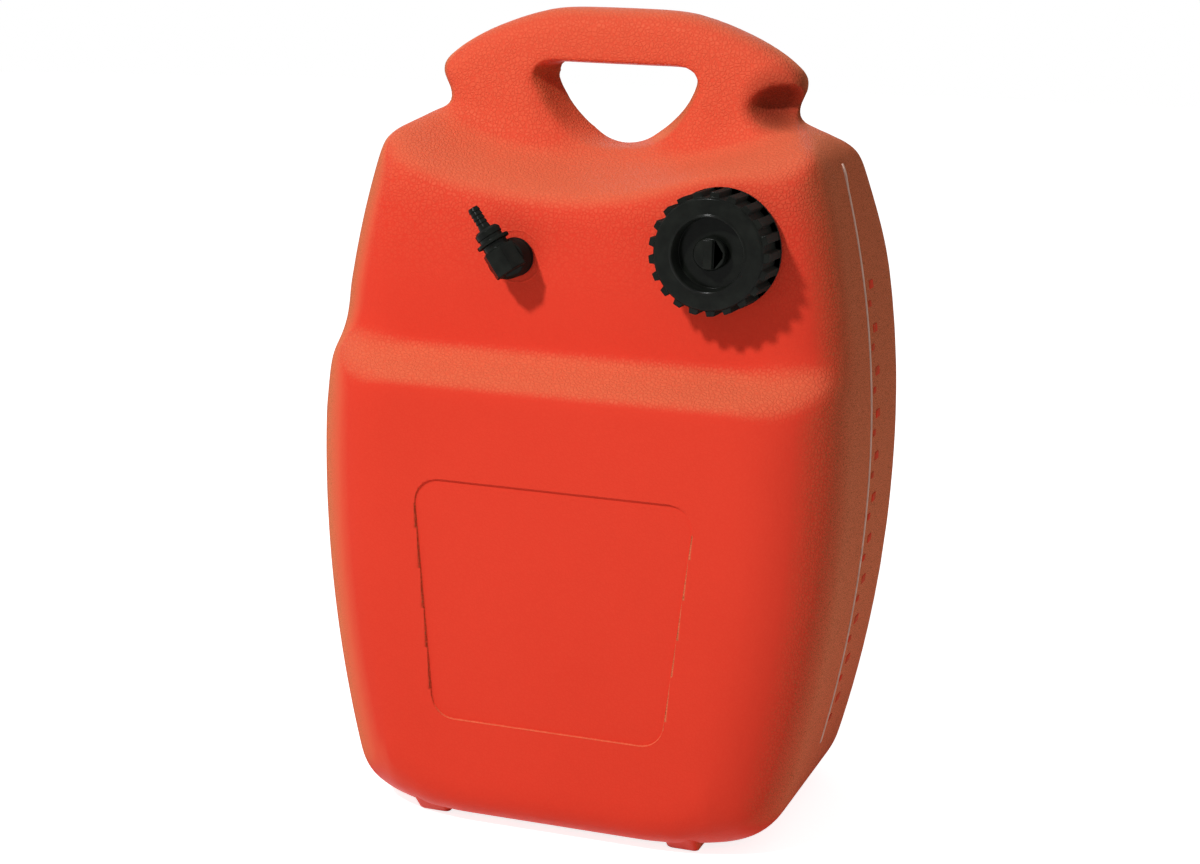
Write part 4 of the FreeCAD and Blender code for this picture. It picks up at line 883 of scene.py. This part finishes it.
class FUELTANK_OT_body(Operator):
    """Model the moulded tank with its handle, ledge, scoops, feet, label panel and filler neck"""
    bl_idname = "fueltank.body"
    bl_label = "Tank body"

    def execute(self, context):
        sizes = context.scene.tank_sizes
        outline = tank_outline()
        body = rounded_block("tank_body", outline, sizes.upper_face, sizes.half_depth,
                             rim_radius(sizes.edge_radius, sizes.edge_radius),
                             rim_radius(sizes.edge_radius, sizes.back_shoulder))
        shoulders = cut_out("shoulder_cutter", shoulder_outline(), -BEYOND, BEYOND)
        combine(body, shoulders, "DIFFERENCE")
        for side in (-1, 1):
            combine(body, scoop("scoop_cutter", side), "DIFFERENCE")
        lower = rounded_block("lower_block", outline, -sizes.half_depth, 0.0,
                              rim_radius(sizes.front_radius, sizes.front_radius))
        combine(lower, ledge_cutter(), "DIFFERENCE")
        combine(body, lower, "UNION")
        handle = cut_out("handle_block", handle_shape(), -sizes.handle_half, sizes.handle_half)
        round_rims(handle, [-sizes.handle_half, sizes.handle_half], sizes.handle_radius, 8)
        combine(body, handle, "UNION")
        combine(body, grip_cutter(), "DIFFERENCE")
        soften(body)
        for side in (-1, 1):
            combine(body, foot_block(side), "UNION")
        combine(body, hollow_cutter(), "DIFFERENCE")
        ease(body, "hollow", 16, hollow_zone)
        inside = cavity(body)
        combine(body, panel_cutter(), "DIFFERENCE")
        ring = primitive("torus", "outlet_ring", major_segments=96, minor_segments=12,
                         major_radius=0.0160, minor_radius=0.0010)
        ring.data.transform(Matrix.Translation((OUTLET.x, sizes.upper_face + 0.0007, OUTLET.z))
                            @ Matrix.Rotation(math.pi / 2, 4, "X"))
        combine(body, ring, "UNION")
        combine(body, inside, "DIFFERENCE")
        bore = turned("neck_bore", (FILLER.x, FILLER.z), 0.0233, -0.120, -0.0617)
        combine(body, bore, "DIFFERENCE")
        join(body, [filler_neck()])
        focus(body)
        bpy.ops.object.shade_smooth_by_angle(angle=math.radians(30))
        apply(body, "WEIGHTED_NORMAL", keep_sharp=True)
        paint(body, finish("tank_plastic"))
        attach(body, TANK)
        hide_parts("tank_shell")
        return {"FINISHED"}


def side_line():
    """Points up the right side at the parting line, over the shoulder's round corner."""
    corner = shoulder_corner()[:-4:-1]
    base, steps = 0.052, 40
    rise = corner[0][1] - base
    levels = [base + rise * step / steps for step in range(steps)]
    return [(side_reach(level), level) for level in levels] + corner


class FUELTANK_OT_side_details(Operator):
    """Model the pale parting strips on both sides and the level marks on the right side"""
    bl_idname = "fueltank.side_details"
    bl_label = "Side details"

    def execute(self, context):
        half, proud, sunk = 0.0013, 0.0006, 0.0020
        line = side_line()
        outer = shifted(line, [-proud] * len(line), closed=False)
        inner = shifted(line, [sunk] * len(line), closed=False)
        for side, name in ((1, "parting_strip_right"), (-1, "parting_strip_left")):
            outline = [(side * across, level) for across, level in outer + inner[::-1]]
            strip = cut_out(name, outline, -half, half)
            crisp_edges(strip, 0.0004)
            paint(strip, finish("parting_plastic"))
            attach(strip, TANK)
        marks = []
        first, pitch, count, half_step = 0.078, 0.0272, 11, 0.011
        for index in range(count):
            level = first + pitch * index
            marks.append(self.mark(level, depth=0.019, height=0.0052, width=0.0100))
            marks.append(self.mark(level - half_step, depth=0.010, height=0.0040, width=0.0066))
        join(marks[0], marks[1:])
        scale = context.object
        scale.name = "level_marks"
        paint(scale, finish("mark_plastic"))
        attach(scale, TANK)
        return {"FINISHED"}

    def mark(self, level, depth, height, width):
        """One low pad of the level scale, on the right side."""
        proud, sunk = 0.0005, 0.0015
        reach = side_reach(level)
        lean = math.atan2(side_reach(level + MM) - side_reach(level - MM), 2 * MM)
        pad = primitive("cube", "level_mark", size=1.0)
        middle = (reach + (proud - sunk) / 2, depth, level)
        place = Matrix.Translation(middle) @ Matrix.Rotation(lean, 4, "Y")
        pad.data.transform(place @ Matrix.Diagonal((proud + sunk, width, height, 1.0)))
        crisp_edges(pad, 0.0005)
        return pad


# ---------------------------------------------------------------- stage

class FUELTANK_OT_stage(Operator):
    """Set up the camera, the floor, the lamp and the world"""
    bl_idname = "fueltank.stage"
    bl_label = "Stage"

    def execute(self, context):
        scene = context.scene
        self.camera(scene)
        floor = primitive("circle", "floor", vertices=64, radius=8.0, fill_type="NGON")
        paint(floor, self.floor_finish())

        self.lamp("key", direction=(-0.33, -1.0, 0.86), distance=2.4, size=0.20, power=38.8)
        self.world(scene)
        scene.view_settings.view_transform = "Standard"
        return {"FINISHED"}

    def camera(self, scene):
        """Camera in front of the tank, a little to the right of it and above its top."""
        place = (0.457016, -1.378318, 0.550835)
        right = Vector((0.94494621, 0.32582481, 0.03024654))
        up = Vector((-0.09561389, 0.18652765, 0.97778598))
        data = bpy.data.cameras.new("view")
        data.sensor_width = 36.0
        data.lens = 68.44
        camera = bpy.data.objects.new("view", data)
        scene.collection.objects.link(camera)
        turn = Matrix((right, up, right.cross(up))).transposed().to_4x4()
        camera.matrix_world = Matrix.Translation(place) @ turn
        scene.camera = camera

    def lamp(self, name, direction, distance, size, power):
        """Round lamp that looks at the middle of the tank."""
        target = Vector((0.0, -0.05, 0.27))
        data = bpy.data.lights.new(name, "AREA")
        data.shape = "DISK"
        data.size = size
        data.energy = power
        lamp = bpy.data.objects.new(name, data)
        bpy.context.scene.collection.objects.link(lamp)
        way = Vector(direction).normalized()
        lamp.location = target + way * distance
        lamp.rotation_euler = way.to_track_quat("Z", "Y").to_euler()

    def shown(self, tree):
        """1 for what the camera, a reflection or a clear piece sees, 0 for the scene's light."""
        path = tree.nodes.new("ShaderNodeLightPath")
        return highest(tree, path.outputs["Is Camera Ray"], path.outputs["Is Glossy Ray"],
                       path.outputs["Is Transmission Ray"])

    def floor_finish(self):
        """Pale floor that shows nearly white and still takes the shadow."""
        colour = (*bpy.context.scene.tank_colours.floor, 1.0)
        material = bpy.data.materials.new("pale_floor")
        material.use_nodes = True
        tree = material.node_tree
        tree.nodes.clear()
        output = tree.nodes.new("ShaderNodeOutputMaterial")
        matt = tree.nodes.new("ShaderNodeBsdfDiffuse")
        matt.inputs["Color"].default_value = colour
        lift = tree.nodes.new("ShaderNodeEmission")
        lift.inputs["Strength"].default_value = 0.83   # near white, with the shadow on top
        both = tree.nodes.new("ShaderNodeAddShader")
        pick = tree.nodes.new("ShaderNodeMixShader")
        tree.links.new(matt.outputs[0], both.inputs[0])
        tree.links.new(lift.outputs[0], both.inputs[1])
        tree.links.new(self.shown(tree), pick.inputs[0])
        tree.links.new(matt.outputs[0], pick.inputs[1])
        tree.links.new(both.outputs[0], pick.inputs[2])
        tree.links.new(pick.outputs[0], output.inputs["Surface"])
        return material

    def world(self, scene):
        """Soft even light, and plain white where the camera or a reflection sees it."""
        world = bpy.data.worlds.new("studio")
        scene.world = world
        world.use_nodes = True
        tree = world.node_tree
        tree.nodes.clear()
        output = tree.nodes.new("ShaderNodeOutputWorld")
        soft = tree.nodes.new("ShaderNodeBackground")
        parts = axes(tree, tree.nodes.new("ShaderNodeTexCoord").outputs["Generated"])
        strength = remap(tree, parts["Z"], 0.0, 0.8, 0.20, 0.38)
        tree.links.new(strength, soft.inputs["Strength"])
        white = tree.nodes.new("ShaderNodeBackground")
        white.inputs["Strength"].default_value = 1.0
        for node in (soft, white):
            node.inputs["Color"].default_value = (1, 1, 1, 1)
        pick = tree.nodes.new("ShaderNodeMixShader")
        tree.links.new(self.shown(tree), pick.inputs[0])
        tree.links.new(soft.outputs[0], pick.inputs[1])
        tree.links.new(white.outputs[0], pick.inputs[2])
        tree.links.new(pick.outputs[0], output.inputs["Surface"])


def softened_copy(node, name, width):
    """Copy of a piece of the frame with its sharp edges rounded, which then stands for it."""
    deselect()
    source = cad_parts[node]
    piece = bpy.data.objects.new(name, source.data.copy())
    piece.data.name = name
    bpy.context.scene.collection.objects.link(piece)
    edit_all(piece)
    bpy.ops.mesh.remove_doubles(threshold=1e-6)
    bpy.ops.mesh.dissolve_limited(angle_limit=math.radians(1.5))
    bpy.ops.object.mode_set(mode="OBJECT")
    crisp_edges(piece, width)
    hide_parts(node)
    return piece


class FUELTANK_OT_fittings(Operator):
    """Round the edges of the cap, the vent knob, the elbow, its nut and the barb"""
    bl_idname = "fueltank.fittings"
    bl_label = "Cap and outlet"

    def execute(self, context):
        pieces = {
            "filler_cap": ("cap", CAP, 0.0004),
            "vent_knob": ("knob", VENT, 0.0005),
            "outlet_elbow": ("elbow_body", ELBOW, 0.0006),
            "barb_nut": ("hose_nut", ELBOW, 0.0003),
            "hose_barb": ("ribbed_barb", ELBOW, 0.00015),
        }
        for node, (name, body, width) in pieces.items():
            piece = softened_copy(node, name, width)
            paint(piece, finish("fitting_plastic"))
            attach(piece, body)
        return {"FINISHED"}


class FUELTANK_OT_small_pieces(Operator):
    """Give the pieces that keep their own shape their finishes"""
    bl_idname = "fueltank.small_pieces"
    bl_label = "Small pieces"

    def execute(self, context):
        finishes = {
            "fitting_plastic": ("splash_cup", "outlet_adapter", "strainer_body", "strainer_foot"),
            "seal_rubber": ("cap_gasket", "vent_o_ring", "outlet_gasket", "elbow_o_ring",
                            "barb_seal"),
            "turned_brass": ("outlet_insert", "vent_screw"),
            "bright_steel": ("vent_retainer", "elbow_circlip", "upper_hose_clip",
                             "lower_hose_clip"),
            "gauze_steel": ("strainer_mesh",),
            "tube_rubber": ("pickup_tube",),
        }
        for name, nodes in finishes.items():
            for node in nodes:
                paint(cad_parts[node], finish(name))
        return {"FINISHED"}


class FUELTANK_PT_panel(Panel):
    """Buttons for each piece"""
    bl_idname = "FUELTANK_PT_panel"
    bl_label = "Fuel tank"
    bl_space_type = "VIEW_3D"
    bl_region_type = "UI"
    bl_category = "Fuel tank"

    def draw(self, context):
        for group in ("tank_sizes", "tank_colours"):
            settings = getattr(context.scene, group)
            for key in settings.__annotations__:
                self.layout.prop(settings, key)
        for operator in OPERATORS:
            self.layout.operator(operator.bl_idname)


OPERATORS = (FUELTANK_OT_stage, FUELTANK_OT_body, FUELTANK_OT_side_details, FUELTANK_OT_fittings,
             FUELTANK_OT_small_pieces)
GROUPS = (TankSizes, TankColours)


def register():
    for item in GROUPS + OPERATORS + (FUELTANK_PT_panel,):
        bpy.utils.register_class(item)
    bpy.types.Scene.tank_sizes = PointerProperty(type=TankSizes)
    bpy.types.Scene.tank_colours = PointerProperty(type=TankColours)


def unregister():
    for name in ("tank_sizes", "tank_colours"):
        delattr(bpy.types.Scene, name)
    for item in reversed(GROUPS + OPERATORS + (FUELTANK_PT_panel,)):
        bpy.utils.unregister_class(item)


def main():
    register()
    for operator in OPERATORS:
        group, name = operator.bl_idname.split(".")
        getattr(getattr(bpy.ops, group), name)()


if __name__ == "__main__":
    main()
